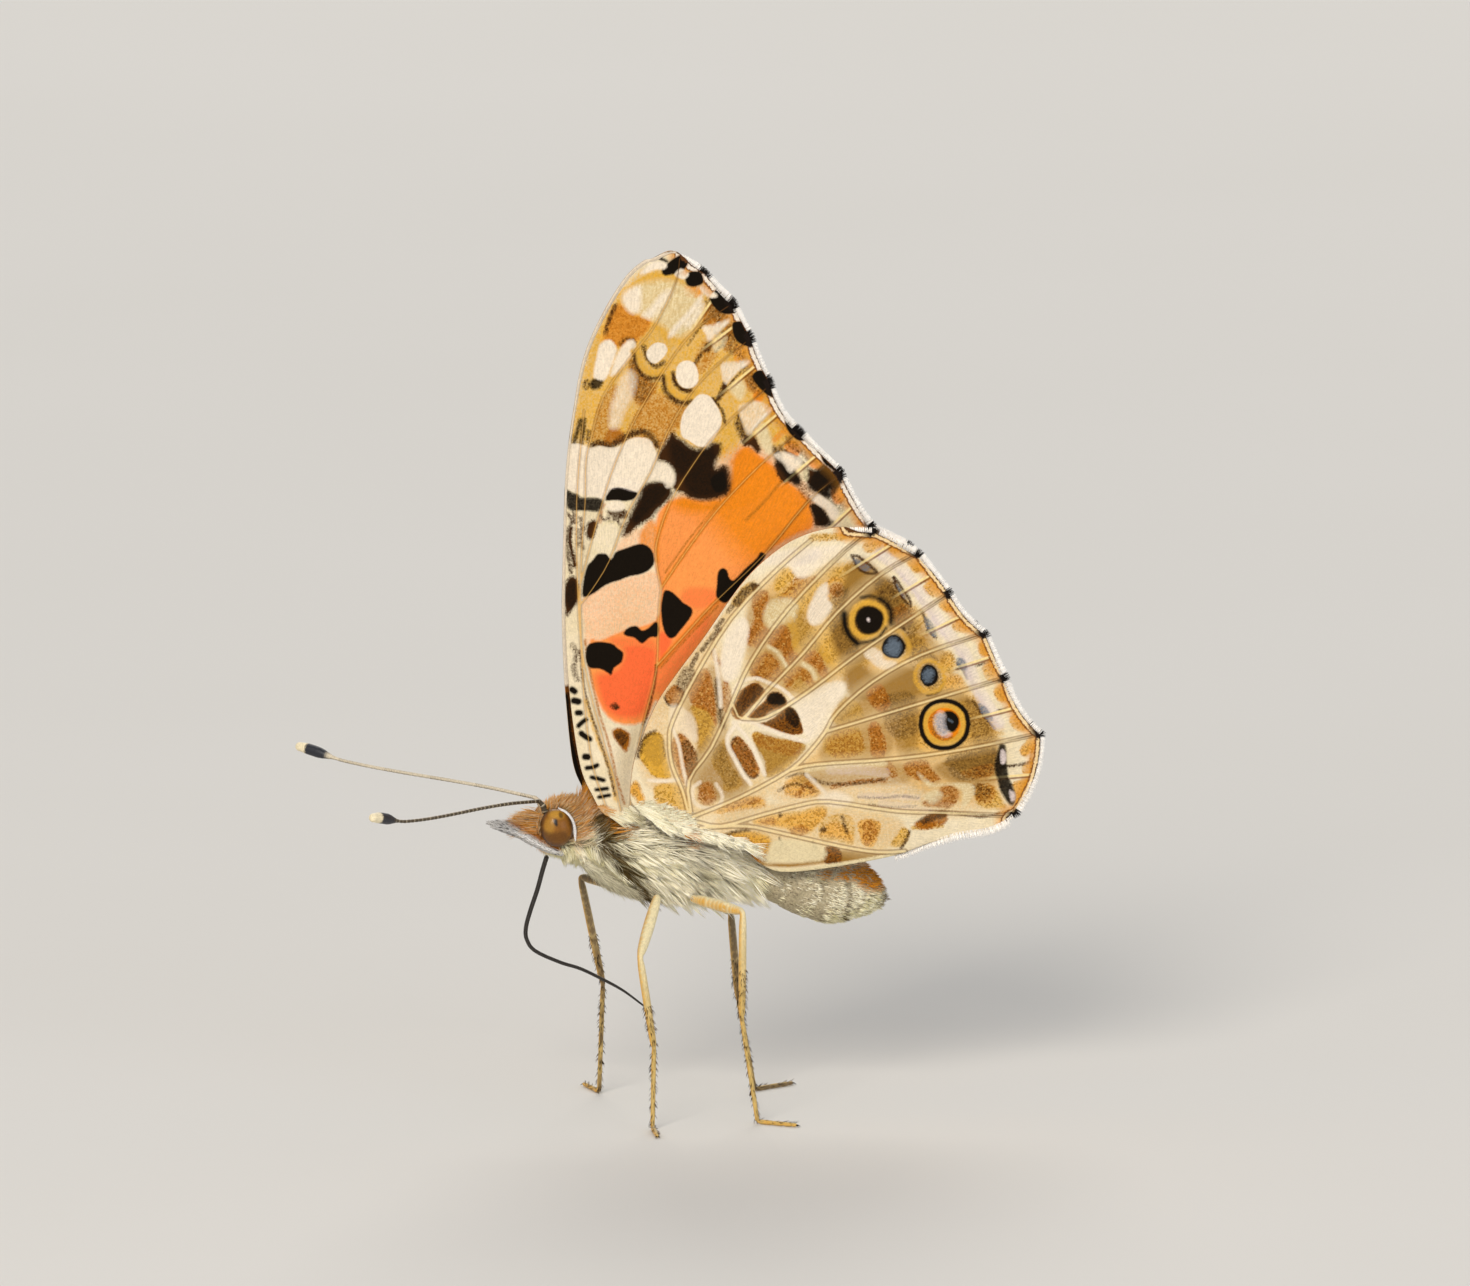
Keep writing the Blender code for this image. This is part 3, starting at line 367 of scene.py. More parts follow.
# In the hindwing marks, the olive patch from 210,0 to 278,-1 on the lower edge is painted shadow under the
# fold of the hindwing.
HIND_MARKS = """
tan .85 .45 0: 120,270 144,293 171,287 214,306 257,292 284,265 305,238 326,205 348,169 372,137 381,112
  383,59 348,47 310,56 268,77 219,88 171,83 155,80 187,109 225,154 233,178 203,180 171,165 139,171 116,184
  118,225;
tan .5 .5 0: 0,139 54,203 77,225 88,171 92,118 128,80 128,54 86,41 54,43 11,75;
tan .45 .5 0: 139,73 203,83 278,73 342,64 385,54 342,41 278,45 214,54 160,54;
tan .5 .4 0: 86,37 171,48 235,41 278,27 257,0 193,-13 128,-13 96,11;
olive .97 .25 0: 210,261 216,285 225,306 238,312 253,300 268,289 282,270 292,248 289,235 274,233 263,220
  248,214 238,199 220,195 208,212 203,233;
olive .9 .25 0: 220,195 235,201 248,190 261,188 275,197 293,195 300,182 295,160 273,154 246,158 227,160
  220,177;
olive .75 .2 0: 265,157 297,160 295,112 282,105 270,123;
124,125 148,119 175,113 169,101 152,88 135,79 133,94 125,109;
olive .8 .2 0: 284,178 305,168 330,171 349,165 364,152 345,156 325,164 300,158 285,156;
olive .6 .3 0: 351,160 368,143 379,123 381,112 358,105 355,131;
olive .55 .3 0: 284,257 297,244 310,225 326,208 310,201 294,208 284,219;
212,158 238,171 259,169 270,137 265,103 235,96 199,94 195,111 210,135;
olive .7 .15 0: 56,96 66,116 79,120 94,112 105,91 116,70 102,57 80,54 64,64 54,77;
olive .5 .35 0: 120,263 160,265 187,223 205,190 184,171 155,171 123,186 118,214;
olive .6 .25 0: 278,171 297,180 291,154 287,128 297,105 278,103 270,137;
olive .7 .25 0: 316,88 340,96 385,111 384,79 358,71 332,75;
olive .5 .3 0: 171,83 225,90 278,91 284,75 225,72 177,71;
olive .45 .3 0: 49,160 77,195 88,171 90,123 77,96 64,112;
ochre .85 .1 0: 16,68 26,72 39,70 47,62 51,50 52,37 43,34 30,41 18,50 15,59;
195,116 203,123 219,131 233,131 238,118 239,105 225,100 209,98 198,105;
209,155 223,163 235,155 239,141 225,137 212,134 205,141;
ochre 1 .06 0: 0,109 5,122 16,127 24,123 26,109 30,91 33,79 24,77 13,80 5,91 -1,100;
yellow .5 .1 0: 4,107 16,123 22,118 24,102 30,81 16,81 9,94;
umber .8 .12 .086: -3,100 1,113 6,122 15,127;
umber .42 .1 0: 3,112 15,125 24,118 26,101 19,91 11,96 4,105;
ochre .95 .1 0: 54,153 61,156 71,152 77,144 81,134 77,120 70,107 64,105 61,123 58,141;
ochre .8 .06 0: 78,105 86,116 90,118 92,105 98,91 107,77 109,70 102,64 90,64 88,75 79,88 76,96;
umber .25 .1 0: 79,105 88,113 94,94 105,75 94,68 81,90;
ochre .95 .05 0: 119,123 125,127 133,123 146,120 163,117 177,112 171,102 160,91 148,82 135,79 134,94
  126,109;
rust .4 .15 0: 122,123 134,121 150,117 171,113 166,103 150,105 137,109 128,112;
ochre .8 .25 0: 134,255 144,268 160,284 171,289 187,289 195,286 182,268 174,251 180,241 193,238 209,251
  223,262 225,241 225,219 246,225 257,214 238,198 214,190 198,201 187,212 171,209 163,214 160,230 150,244
  137,246;
ochre .6 .1 0: 123,209 134,214 150,195 160,198 171,195 184,190 193,182 184,171 169,169 155,180 139,180
  123,182 116,195;
rust .3 .15 0: 201,116 219,128 235,123 235,105 209,101;
ochre .7 .4 0: 273,160 294,171 326,177 348,171 369,150 380,137 383,120 369,112 342,105 316,103 294,105
  278,118 284,139;
gold .35 .3 0: 284,155 310,169 342,169 364,148 374,126 353,109 310,107 287,120;
ochre .8 .15 0: 337,91 348,102 374,111 382,109 377,86 369,77 348,80;
321,209 332,212 337,199 332,190 323,195;
rust .6 .12 0: 345,83 374,92 377,83 369,77 351,79;
354,68 369,70 379,66 377,54 366,50 358,59;
olive .97 .12 0: 321,92 340,101 377,110 382,107 378,92 358,86 337,86;
ochre .8 .12 0: 353,68 369,70 380,66 385,56 391,45 377,45 364,47 358,58;
120,30 134,36 155,40 171,41 184,45 195,47 199,41 190,28 180,19 166,17 155,24 139,27;
gold .9 .07 0: 398,70 407,75 416,75 415,59 407,47 401,45 402,56;
gold .8 .12 0: 156,73 166,79 178,80 186,72 193,61 182,57 166,57 155,62;
rust .5 .1 .13: 169,59 178,70 184,64;
gold .8 .1 0: 80,41 91,49 107,56 120,58 131,55 133,47 118,45 102,43 88,40;
193,20 199,26 208,30 216,26 225,19 226,9 212,13 199,15 193,15;
rust .5 .1 .11: 94,45 109,51 126,54;
gold .6 .15 0: 123,30 137,35 160,37 177,40 193,45 197,39 186,26 171,18 155,25;
rust .6 .08 0: 159,21 171,27 181,22 171,16;
239,29 248,30 253,21 248,9 241,6 238,17;
rust .5 .08 0: 128,31 141,35 144,29 133,27;
umber .8 .06 0: 147,39 150,41 152,37 149,35;
98,264 106,276 116,284 124,282 114,272 105,261;
ochre 1 .1 0: 90,17 102,20 118,21 131,18 139,13 140,2 133,-5 125,-13 118,-13 112,-5 105,4 94,13;
gold .5 .12 0: 96,17 118,19 137,11 137,0 126,-9 116,-2 105,9;
284,88 300,92 317,77 300,74;
rust .8 .1 0: 112,-5 123,0 129,-7 124,-18 116,-13;
umber .8 .08 .07: 90,16 102,20 116,22;
buff .9 .12 0: 144,11 171,11 195,5 197,-9 171,-13 150,-13 134,-13 137,0;
buff 1 .06 .12: 124,-19 144,-21 171,-21 203,-17 235,-12 261,-7 280,-2;
olive .95 .08 .11: 128,-14 160,-16 198,-11 216,-9;
umber .8 .06 .064: 149,13 152,4;
umber .7 .06 .053: 184,9 187,2;
rust 1 .06 0: 197,3 213,1 214,-13 198,-14;
umber .6 .06 0: 197,3 213,1 214,-13 198,-14;
olive .98 .1 0: 210,0 253,-3 278,-1 261,-13 235,-17 212,-15;
ochre .5 .1 0: 195,34 225,36 227,7 210,11 193,13;
umber .9 .08 0: 192,21 196,25 200,22 196,19;
279,238 282,240 285,236 281,234;
umber .8 .08 .075: 216,36 218,28 221,19;
301,255 305,246 309,235 316,227;
gold .85 .06 0: 233,30 244,33 255,31 257,24 253,11 248,4 240,4 235,13;
ochre .85 .08 0: 268,5 274,15 280,24 287,21 287,13 280,4;
umber .95 .06 .075: 288,20 285,12 279,2;
rust 1 .08 0: 293,28 302,34 312,40 327,41 328,31 317,25 302,22;
umber .8 .08 0: 297,31 306,37 317,41 327,41 327,35 317,33 306,28;
ochre .9 .08 .08: 291,24 305,24 323,26;
rust .85 .1 0: 282,91 294,96 305,96 312,86 321,75 310,73 294,77 284,83;
rust .8 .08 0: 302,51 316,58 323,68 334,68 341,62 338,52 330,45 316,46 306,47;
buff .7 .15 0: 305,58 316,64 323,58 312,50;
umber .5 .06 .043: 233,57 257,56 278,58 297,56;
156,78 169,82 180,81;
umber .45 .06 .043: 244,49 270,46 295,47;
umber .55 .08 .059: 178,79 197,72 225,71 261,76;
umber .5 .08 .053: 148,64 163,71 178,68 190,62;
umber .35 .2 0: 330,98 348,105 369,109 379,105 377,88 362,79 342,77 332,86;
umber .4 .12 0: 355,68 368,70 374,62 370,54 362,56;
buff .7 .12 .12: 178,87 203,91 235,93 261,93;
buff .7 .12 0: 297,83 312,71 330,71 345,71 357,68 355,56 345,47 345,62 332,71 310,68;
gold 1 .1 0: -11,67 -6,74 -2,72 1,64 5,54 6,46 1,45 -5,56 -11,61;
rust .85 .06 0: 33,112 37,122 44,125 50,120 56,111 60,102 60,88 54,77 48,71 43,77 39,90 34,102;
gold .5 .1 0: 35,116 42,122 46,112 47,91 49,77 43,81 36,101;
umber .5 .08 0: 48,118 56,111 61,100 59,86 51,79 48,96 44,109;
rust .9 .07 0: 63,190 71,194 76,184 79,169 81,150 82,134 78,137 73,148 62,152 54,158 51,169 56,180;
244,134 253,137 259,126 263,112 261,101 248,101 246,116;
rust .95 .05 0: 101,121 105,122 112,116 120,105 125,93 128,86 125,79 118,78 111,86 105,96 97,105 96,113;
umber .6 .06 .08: 101,120 97,112 100,104 109,88 118,78 125,80;
umber .35 .12 0: 105,118 116,107 123,90 116,83 105,101;
rust .8 .12 0: 66,70 73,73 78,66 81,57 77,50 68,49 62,56 63,64;
rust .9 .06 0: 26,164 31,173 37,177 44,173 46,167 43,159 37,154 30,157;
umber .8 .06 .059: 26,164 30,156 37,154 44,160 46,169;
umber .6 .12 0: 39,178 43,187 48,195 55,195 58,188 54,180 46,171 40,171;
tan .6 .1 0: 49,195 64,216 86,248 116,286 125,282 107,259 88,231 68,203 58,188;
umber .7 .06 .11: 54,195 61,209;
66,214 73,223;
81,238 88,246;
umber .6 .06 .11: 94,255 100,263;
umber .7 .06 0: 73,225 78,233 85,240 87,235 79,225;
124,135 134,137 144,142 153,149 159,153 166,148 170,139 173,129 170,125 160,125 148,128 136,133;
ochre .7 .12 0: 98,265 105,277 116,285 125,282 116,273 105,261;
umber .95 .06 0: 117,286 124,286 128,282 120,277;
umber .8 .12 .12: 82,182 83,166 85,152 86,141 88,132;
rust .7 .1 0: 88,178 94,180 97,166 94,150 90,148 88,160;
rust .85 .08 .11: 78,212 81,205 86,199;
rust .88 .1 0: 121,274 128,278 136,276 137,265 135,257 131,250 132,242 139,235 135,227 128,218 118,218
  113,225 118,238 122,248 120,261;
rust .93 .07 0: 141,233 148,241 155,240 160,233 162,220 167,212 171,208 167,201 158,197 154,203 152,212
  146,216 137,220 137,227;
rust .9 .08 0: 180,212 186,214 193,208 195,201 199,195 201,188 195,184 188,195 180,201 173,205;
242,169 255,178 262,171 268,158 263,150 257,148 248,155;
rust .75 .08 0: 127,209 135,212 141,208 148,201 152,193 152,184 146,180 139,180 135,184 122,184 118,193;
rust .65 .1 0: 158,190 165,195 173,195 182,188 186,180 182,175 175,181 171,186 165,182 159,174 154,178
  153,184;
rust 1 .05 0: 97,148 101,158 107,171 118,178 125,179 132,173 134,168 126,160 118,153 110,143 106,139
  101,141;
116,143 124,152 133,160 139,169 148,169 155,163 157,157 150,152 139,148 131,142 120,139;
120,135 133,137 143,142 152,149 159,154 166,149 171,139 174,128 171,124 160,124 148,127 135,132;
umber .85 .06 0: 100,149 103,158 109,170 118,177 125,178 132,172 125,162 117,154 109,146 105,142;
umber .75 .06 0: 118,144 125,152 134,160 139,168 148,168 154,163 155,157 148,153 138,149 131,143 120,140;
black .95 .06 0: 139,168 148,169 155,163 156,157 146,155 137,157 135,163;
black .8 .08 0: 155,149 160,153 167,148 171,137 166,131 158,137;
rust .6 .15 0: 165,289 171,292 180,292 188,291 180,282 171,274 160,266 148,265 152,272 160,280;
ochre .85 .12 0: 146,294 152,301 160,302 166,294 160,286 152,281 148,276 143,282;
white .9 .06 .086: 34,131 41,114 45,91 50,70;
white .9 .06 .08: 9,75 26,74 41,76;
white .95 .06 .11: 100,137 116,138 131,132 154,123 172,118 180,117;
103,135 94,123 94,112 100,100 109,83 118,71;
white .95 .06 .096: 105,131 113,122 120,111 126,98 133,81;
white .9 .06 .096: 100,169 107,180 123,184 137,179 149,174 163,162 173,143 178,125;
white .85 .08 .096: 79,214 83,190 85,172 86,154;
buff .95 .08 .08: 137,218 146,212 154,201 157,196;
buff .7 .2 0: 133,248 137,263 148,268 160,268 167,261 163,246 150,244 141,238;
buff .8 .1 .096: 174,199 183,193 187,184;
yellow .45 .15 .11: 160,246 166,231 166,218 171,211;
yellow .45 .15 .12: 195,214 201,203 207,193 202,183;
white .7 .08 .07: 64,73 56,66 58,51 71,45 83,47 88,58 81,71;
white .85 .16 0: 190,56 203,62 216,61 227,54 216,47 203,48;
white .8 .1 .075: 178,81 188,71 201,58;
umber .35 .25 0: 203,261 212,274 220,278 216,263 214,244 220,225 231,214 220,212 210,225 203,244;
263,160 282,167 293,160 291,143 293,128 278,122 265,133;
umber .38 .3 0: 253,287 268,285 280,270 289,250 291,229 278,225 274,244 268,261 257,274;
umber .32 .25 0: 280,214 295,225 306,214 317,199 321,180 315,169 306,186 293,199;
351,160 364,150 372,133 374,118 360,116 355,135;
ochre .7 .25 0: 199,294 219,306 241,297 257,289 272,278 289,261 305,251 294,235 284,241 273,262 251,276
  233,276 219,262 223,284;
gold .97 .06 .11: 201,269 199,278 202,287 211,290 219,286 221,276 217,268 210,263;
rust .7 .15 0: 203,279 208,285 214,284 216,277 213,271 208,270 204,274;
umber .8 .05 0: 209,276 211,278 213,276 211,274;
white .9 .1 0: 184,268 190,280 199,286 201,278 201,268 205,261 201,253 193,243 184,241 179,248 180,259;
black 1 .12 .17: 218,253 219,240 224,229 232,221;
black 1 .08 .086: 232,221 244,223 255,228 263,238;
black 1 .08 .08: 236,270 246,272 256,269;
black 1 .12 .14: 256,269 263,264 268,255 268,243;
umber .6 .2 .16: 259,276 268,278 272,270;
yellow .95 .07 .16: 244,265 255,261 262,251 261,240 253,230 240,228 230,233 226,245 229,257 236,263 244,265;
umber .8 .08 .16: 244,261 254,257 258,249 257,241 250,234 242,232 233,238 230,246 233,255 244,261;
black 1 .08 0: 230,246 234,257 242,261 251,260 259,254 260,244 255,235 245,231 236,234;
rust .7 .08 .11: 248,259 257,253 258,242 250,233;
violet 1 .05 0: 242,247 244,249 246,246 244,244;
ochre .8 .2 0: 195,225 212,248 218,225 230,212 244,214 225,198 209,203;
gold .4 .1 0: 248,118 261,113 261,101 249,101;
ochre .9 .15 0: 284,225 297,231 308,219 316,212 300,205 287,209;
gold .45 .15 0: 286,224 297,229 310,214 294,208;
gold .4 .15 0: 308,210 326,212 332,199 321,199;
rust .5 .15 0: 270,257 284,262 294,251 284,241 273,244;
gold .7 .12 0: 325,182 340,187 349,171 332,167;
white .75 .12 0: 240,210 248,216 257,212 261,203 274,201 268,195 257,195 246,203;
134,310 150,319 171,324 203,325 219,326 209,315 198,308 187,300 177,292 166,294 155,308 139,304;
166,158 182,168 203,179 219,178 216,164 203,144 195,128 184,118 178,123 174,139 168,150;
yellow .7 .1 .086: 261,231 272,236 282,230 288,216 282,204 271,200;
black 1 .05 0: 258,214 261,225 270,231 278,228 284,219 281,210 275,205 264,207;
299,186 302,196 309,199 317,194 319,184 314,177 306,175 301,180;
slate .95 .15 0: 262,213 265,223 272,227 278,220 277,211 270,208;
yellow .9 .08 .091: 296,195 303,202 311,203 320,197 325,185 322,174 312,169 302,171 294,183 296,195;
slate .85 .12 0: 302,188 308,195 314,190 311,181 305,180;
umber .95 .05 .07: 324,181 322,173 316,168 307,166;
black 1 .05 .13: 351,135 348,122 338,112 325,109 312,112 303,122 300,135 303,148 312,157 325,160 338,157
  348,148 351,135;
yellow 1 .05 .17: 347,135 343,124 336,117 325,113 315,117 307,124 304,135 307,146 315,153 325,156 336,153
  343,146 347,135;
orange 1 .06 .14: 340,135 339,127 333,121 325,120 318,121 311,127 310,135 311,142 318,149 325,150 333,149
  339,142 340,135;
ochre .95 .06 0: 316,148 324,152 336,149 342,139 341,127 334,120 323,121 315,128 312,139;
violet .95 .14 0: 316,143 321,148 326,144 325,137 327,129 332,124 325,122 319,126 315,135;
slate .4 .14 0: 318,142 323,144 325,137 327,128 322,126 318,134;
black 1 .06 0: 322,144 327,149 335,148 341,141 340,132 334,126 326,129 322,137;
slate .5 .05 .053: 330,140 334,137;
coral .95 .08 .12: 330,122 337,124 342,131;
rust .7 .1 .11: 315,146 311,137 315,126 322,120 332,120;
white .7 .15 .12: 261,315 280,302 296,282 316,257 328,235 348,212 360,184 372,160 386,137;
violet .85 .15 .28: 257,317 277,302 293,282 311,257 325,235 345,212 355,184 368,160 383,135;
umber .95 .05 .08: 226,315 233,314 241,308 248,302 253,297 244,296 235,300 230,307 226,315;
271,292 276,286 281,278 287,270 289,262 282,268 277,276 272,286 271,292;
slate .7 .06 0: 228,312 238,308 246,301 240,299 232,305;
slate .6 .06 0: 274,285 279,278 284,269 278,275;
slate .6 .08 0: 304,250 312,242 317,229 309,233;
umber .8 .06 .07: 339,200 345,194 350,184;
slate .7 .08 0: 339,205 347,203 349,193 341,195;
362,156 370,152 377,139 368,143;
umber .85 .06 .07: 356,160 361,152 367,144 374,136 379,131;
black .97 .06 0: 385,114 391,112 392,96 394,80 398,70 402,59 401,50 397,47 391,54 385,64 382,75 379,86
  380,98 383,109;
violet .95 .06 0: 386,107 391,105 391,94 386,93;
395,64 401,61 401,54 397,52;
gold .8 .08 0: 265,323 278,322 287,315 280,308 270,310;
302,280 310,289 321,280 325,272 315,271 306,274;
gold .95 .08 0: 285,308 294,318 302,310 305,300 294,297 289,302;
319,263 330,270 337,265 338,257 327,255;
rust .4 .1 0: 285,310 294,317 301,310 293,304;
gold .75 .08 0: 334,242 345,248 358,242 364,233 348,233 337,235;
366,195 374,200 383,190 383,182 372,182;
396,142 407,148 417,137 414,128 404,128 396,135;
238,325 246,332 258,328 253,320 242,319;
gold .95 .07 0: 362,220 370,228 374,218 372,208 364,209;
378,171 388,178 392,166 392,159 383,160;
407,109 419,123 424,118 419,107 413,100 407,103;
gold .6 .07 0: 409,90 418,92 418,81 411,81;
rust .75 .06 .048: 262,326 284,320 297,315 306,297 319,285 330,272 339,255 355,246 366,231 373,225 374,208
  385,186 389,178 394,158 404,148 419,135 424,118 418,101 419,80 417,64 413,51 401,43;
umber .85 .06 .053: 284,276 297,284 311,292;
306,234 326,242 345,250;
338,194 358,197 377,203;
370,146 385,150 399,154;
umber .9 .06 .064: 388,89 404,91 422,95;
umber .7 .06 .048: 332,41 364,35 385,40 400,43;
black .97 .05 0: 284,320 291,324 302,322 301,317 291,316;
323,273 330,280 336,277 333,270 326,269;
361,232 368,239 377,235 374,228 366,227;
381,181 387,188 397,187 396,181 387,178;
415,132 424,143 429,139 435,126 433,117 428,121 421,126;
398,42 407,47 418,45 414,39 406,33;
umber .9 .06 0: 233,337 244,340 255,337 248,332 238,333;
ochre .8 .1 .17: 184,334 203,335 225,335 244,334;
violet .9 .15 0: 156,315 171,321 188,322 193,315 180,308 163,304;
slate .3 .15 0: 169,317 184,320 188,312 178,308 169,310;
violet .4 .12 0: 137,309 156,317 152,307;
white .85 .1 0: 88,214 92,233 102,246 112,248 116,235 113,219 109,203 105,187 94,180 87,187 86,201;
white .5 .15 0: 34,155 49,148 58,137 60,118 54,120 43,128 33,131;
rust .6 .1 .086: 205,68 225,72 244,74 263,75;
rust .5 .1 0: 261,94 268,94 274,81 268,79;
violet .3 .15 .16: 203,86 235,86 262,83;
violet .25 .12 .08: 235,58 268,58 297,56;
257,50 284,47 310,42;
umber .5 .08 .048: 310,42 326,41 369,37;
"""

# The first upper-side mark, a white strip along the costa, is painted light that lightens the shade in the
# narrow gap between the two forewings.
FORE_ABOVE_MARKS = """
white 1 .08 .32: -76,178 -80,235 -81,310 -80,374 -77,439 -62,505 -43,563 -17,606 11,625 54,633;
orange 1 .2 0: -128,-32 -128,696 64,674 278,396 193,54 0,-54;
umber .9 .5 0: -86,-11 -86,268 -54,268 -30,214 0,139 21,75 11,0;
umber 1 .1 .011: -86,54 -91,160 -94,268;
black 1 .1 .21: -51,54 -64,96 -70,118 -75,160;
black 1 .15 0: -90,374 -79,482 -43,578 11,637 86,621 150,524 203,449 257,353 214,337 171,396 128,428 96,396
  91,364 54,364 16,348 -21,326 -54,310;
white 1 .08 0: -75,431 -21,431 16,431 11,404 -30,383 -75,388;
white 1 .06 0: 7,533 16,542 26,541 29,533 21,523 11,522;
39,516 49,523 61,518 61,499 49,494 39,503;
43,453 49,473 66,484 81,473 83,449 66,434 49,439;
black 1 .1 0: -61,271 -54,310 5,326 15,308 0,295 -36,284 -49,275;
22,276 46,268 56,253 43,233 30,227 21,246;
-58,214 -30,221 -18,211 -31,187 -54,195;
81,285 88,302 128,319 134,312 107,278 88,265;
"""

HIND_ABOVE_MARKS = """
orange 1 .2 0: -43,-54 -43,160 64,374 278,396 471,160 471,11 171,-54;
umber .85 .6 0: -43,-54 -43,75 11,160 86,268 171,332 225,310 160,246 107,160 128,75 278,21 342,0 171,-54;
black 1 .08 0: 199,276 210,287 221,276 210,264;
232,246 244,259 257,246 244,232;
259,218 272,231 285,218 272,204;
297,186 309,198 321,186 309,173;
306,136 324,153 342,136 324,118;
black 1 .08 .11: 262,308 294,278 319,246 345,212 368,178 391,144 401,112 396,54;
black 1 .08 .08: 246,340 297,319 332,278 372,233 389,182 424,137 424,96 413,43;
"""

# In the fur marks, the wide umber band from -52,26 to 0,-43 is painted shade in the crease down the front of
# the thorax.
# The faint umber marks at 39,0 to 54,-24 and 54,-19 to 66,-54 are painted shade under the hindwing's lower
# edge.
# The wide faint umber patches from -70,-13 to 16,-59 and from 64,-68 to 257,-73 are painted shade on the
# undersides of the thorax and the abdomen.
FUR_MARKS = """
orange .62 .3 0: -154,15 -163,30 -131,54 -102,77 -86,92 -62,105 -36,96 -36,54 -35,21 -49,15 -59,21 -67,9
  -79,11 -96,9 -109,6;
orange .9 .3 0: -73,68 -62,88 -41,92 -36,64 -43,47 -51,34 -60,41 -68,54;
orange .9 .15 0: -48,41 -40,41 -33,26 -37,13 -46,21;
white .5 .2 .12: -120,47 -124,36 -122,26;
orange .7 .12 .096: 34,9 41,17 49,24;
orange .95 .3 0: 184,-24 210,-17 257,-13 265,-36 242,-43 225,-34 199,-32;
umber .95 .25 .27: -52,26 -43,9 -30,-9 -15,-26 0,-43;
umber .4 .25 0: 39,0 51,2 54,-13 47,-24 40,-15;
umber .35 .2 .16: 54,-19 61,-36 66,-54;
umber .8 .12 .086: 21,2 27,9 33,13;
umber .45 .5 0: -70,-13 -43,-24 0,-46 16,-59 0,-66 -43,-43 -68,-24;
umber .25 .5 0: 64,-68 128,-60 160,-71 225,-86 257,-73 253,-96 150,-92;
umber .9 .2 .19: 248,-17 261,-37 257,-59;
umber .75 .08 .08: 126,-32 125,-48 121,-66;
umber .8 .08 .08: 158,-24 160,-43 156,-66;
190,-32 193,-48 187,-75;
216,-32 220,-49 216,-75;
white 1 .15 .15: -58,58 -56,41 -54,21 -49,4;
white .8 .2 .16: -71,13 -64,0 -56,-13;
white .7 .4 0: -36,26 21,32 64,30 112,11 107,-17 43,-9 -11,0;
white .7 .3 0: -9,-15 43,-19 64,-41 54,-54 16,-45;
64,-17 107,-28 120,-43 111,-58 71,-58;
white .6 .3 0: 144,-36 225,-39 238,-49 214,-62 160,-54;
"""

EYE_MARKS = """
umber .8 .3 0: -109,11 -96,9 -83,6 -73,13 -66,0 -86,-11 -105,-6;
umber .9 .1 .11: -106,26 -104,36 -97,44 -88,46 -79,42 -74,32 -71,19 -74,9 -82,1 -93,2 -102,11 -106,24;
umber .45 .2 .16: -101,15 -92,13 -83,15;
yellow .9 .15 0: -96,41 -89,43 -82,40 -83,35 -91,34 -96,35;
yellow .55 .2 0: -98,32 -93,33 -93,24 -97,19 -101,25;
black 1 .05 0: -92,33 -89,33 -88,30 -88,26 -90,26 -92,29;
black .7 .06 0: -86,40 -83,39 -83,35 -86,36;
"""

# The inks in the order they are laid, each with its colour and how ragged its edge is
INKS = {
    "tan": ((216, 172, 102), 0.3),
    "ochre": ((222, 169, 60), 0.5),
    "gold": ((230, 168, 70), 0.5),
    "olive": ((152, 112, 48), 0.35),
    "salmon": ((247, 150, 76), 0.2),
    "coral": ((244, 104, 56), 0.2),
    "orange": ((228, 130, 14), 0.2),
    "rust": ((174, 104, 26), 0.55),
    "umber": ((62, 36, 14), 0.6),
    "buff": ((222, 206, 164), 0.4),
    "yellow": ((214, 162, 60), 0.5),
    "black": ((22, 16, 9), 0.35),
    "violet": ((214, 198, 192), 0.4),
    "slate": ((96, 108, 120), 0.5),
    "white": ((236, 221, 198), 0.3),
}
SPECKED = ("ochre", "gold", "rust")
INK_LAYERS = 6
FLOW_REACH = 15


def seen(u, v, y):
    """The X, Y and Z of the places that show at u, v and lie y from the mid plane."""
    x = (u + y * SIN_TURN) / COS_TURN
    lift = x * SIN_TURN + y * COS_TURN
    return np.stack(np.broadcast_arrays(x, y, (v - lift * SIN_DROP) / COS_DROP), -1)


def shown(places):
    """The u and v at which places show, each taken as if it were on the left."""
    x, y, z = places[:, 0], -np.abs(places[:, 1]), places[:, 2]
    lift = x * SIN_TURN + y * COS_TURN
    return np.stack((x * COS_TURN - y * SIN_TURN, z * COS_DROP + lift * SIN_DROP), -1)


def paired(u, v, out, sign):
    """The place out from the mid plane that shows at u, v on the left, or its mirror on the right."""
    return seen(u, v, -out) * (1, -sign, 1)


def smooth_path(points, per_span, closed=False):
    """Points on a Catmull-Rom curve through points, per_span to each span."""
    path = np.asarray(points, float)
    if closed:
        padded = np.concatenate((path[-1:], path, path[:2]))
    else:
        padded = np.concatenate((2 * path[:1] - path[1:2], path, 2 * path[-1:] - path[-2:-1]))
    before, start, end, after = (padded[i : len(padded) - 3 + i, None] for i in range(4))
    t = (np.arange(per_span) / per_span)[None, :, None]
    curve = 0.5 * (
        2 * start
        + (end - before) * t
        + (2 * before - 5 * start + 4 * end - after) * t**2
        + (3 * start - before - 3 * end + after) * t**3
    )
    curve = curve.reshape(-1, path.shape[1])
    return curve if closed else np.concatenate((curve, path[-1:]))


def along(path):
    """How far along a path each of its points is."""
    return np.concatenate(([0], np.cumsum(np.linalg.norm(np.diff(path, axis=0), axis=1))))


def even_path(path, step):
    """The same path with points about step apart."""
    reach = along(path)
    stops = np.linspace(0, reach[-1], max(2, round(reach[-1] / step) + 1))
    return np.stack([np.interp(stops, reach, path[:, k]) for k in range(path.shape[1])], -1)


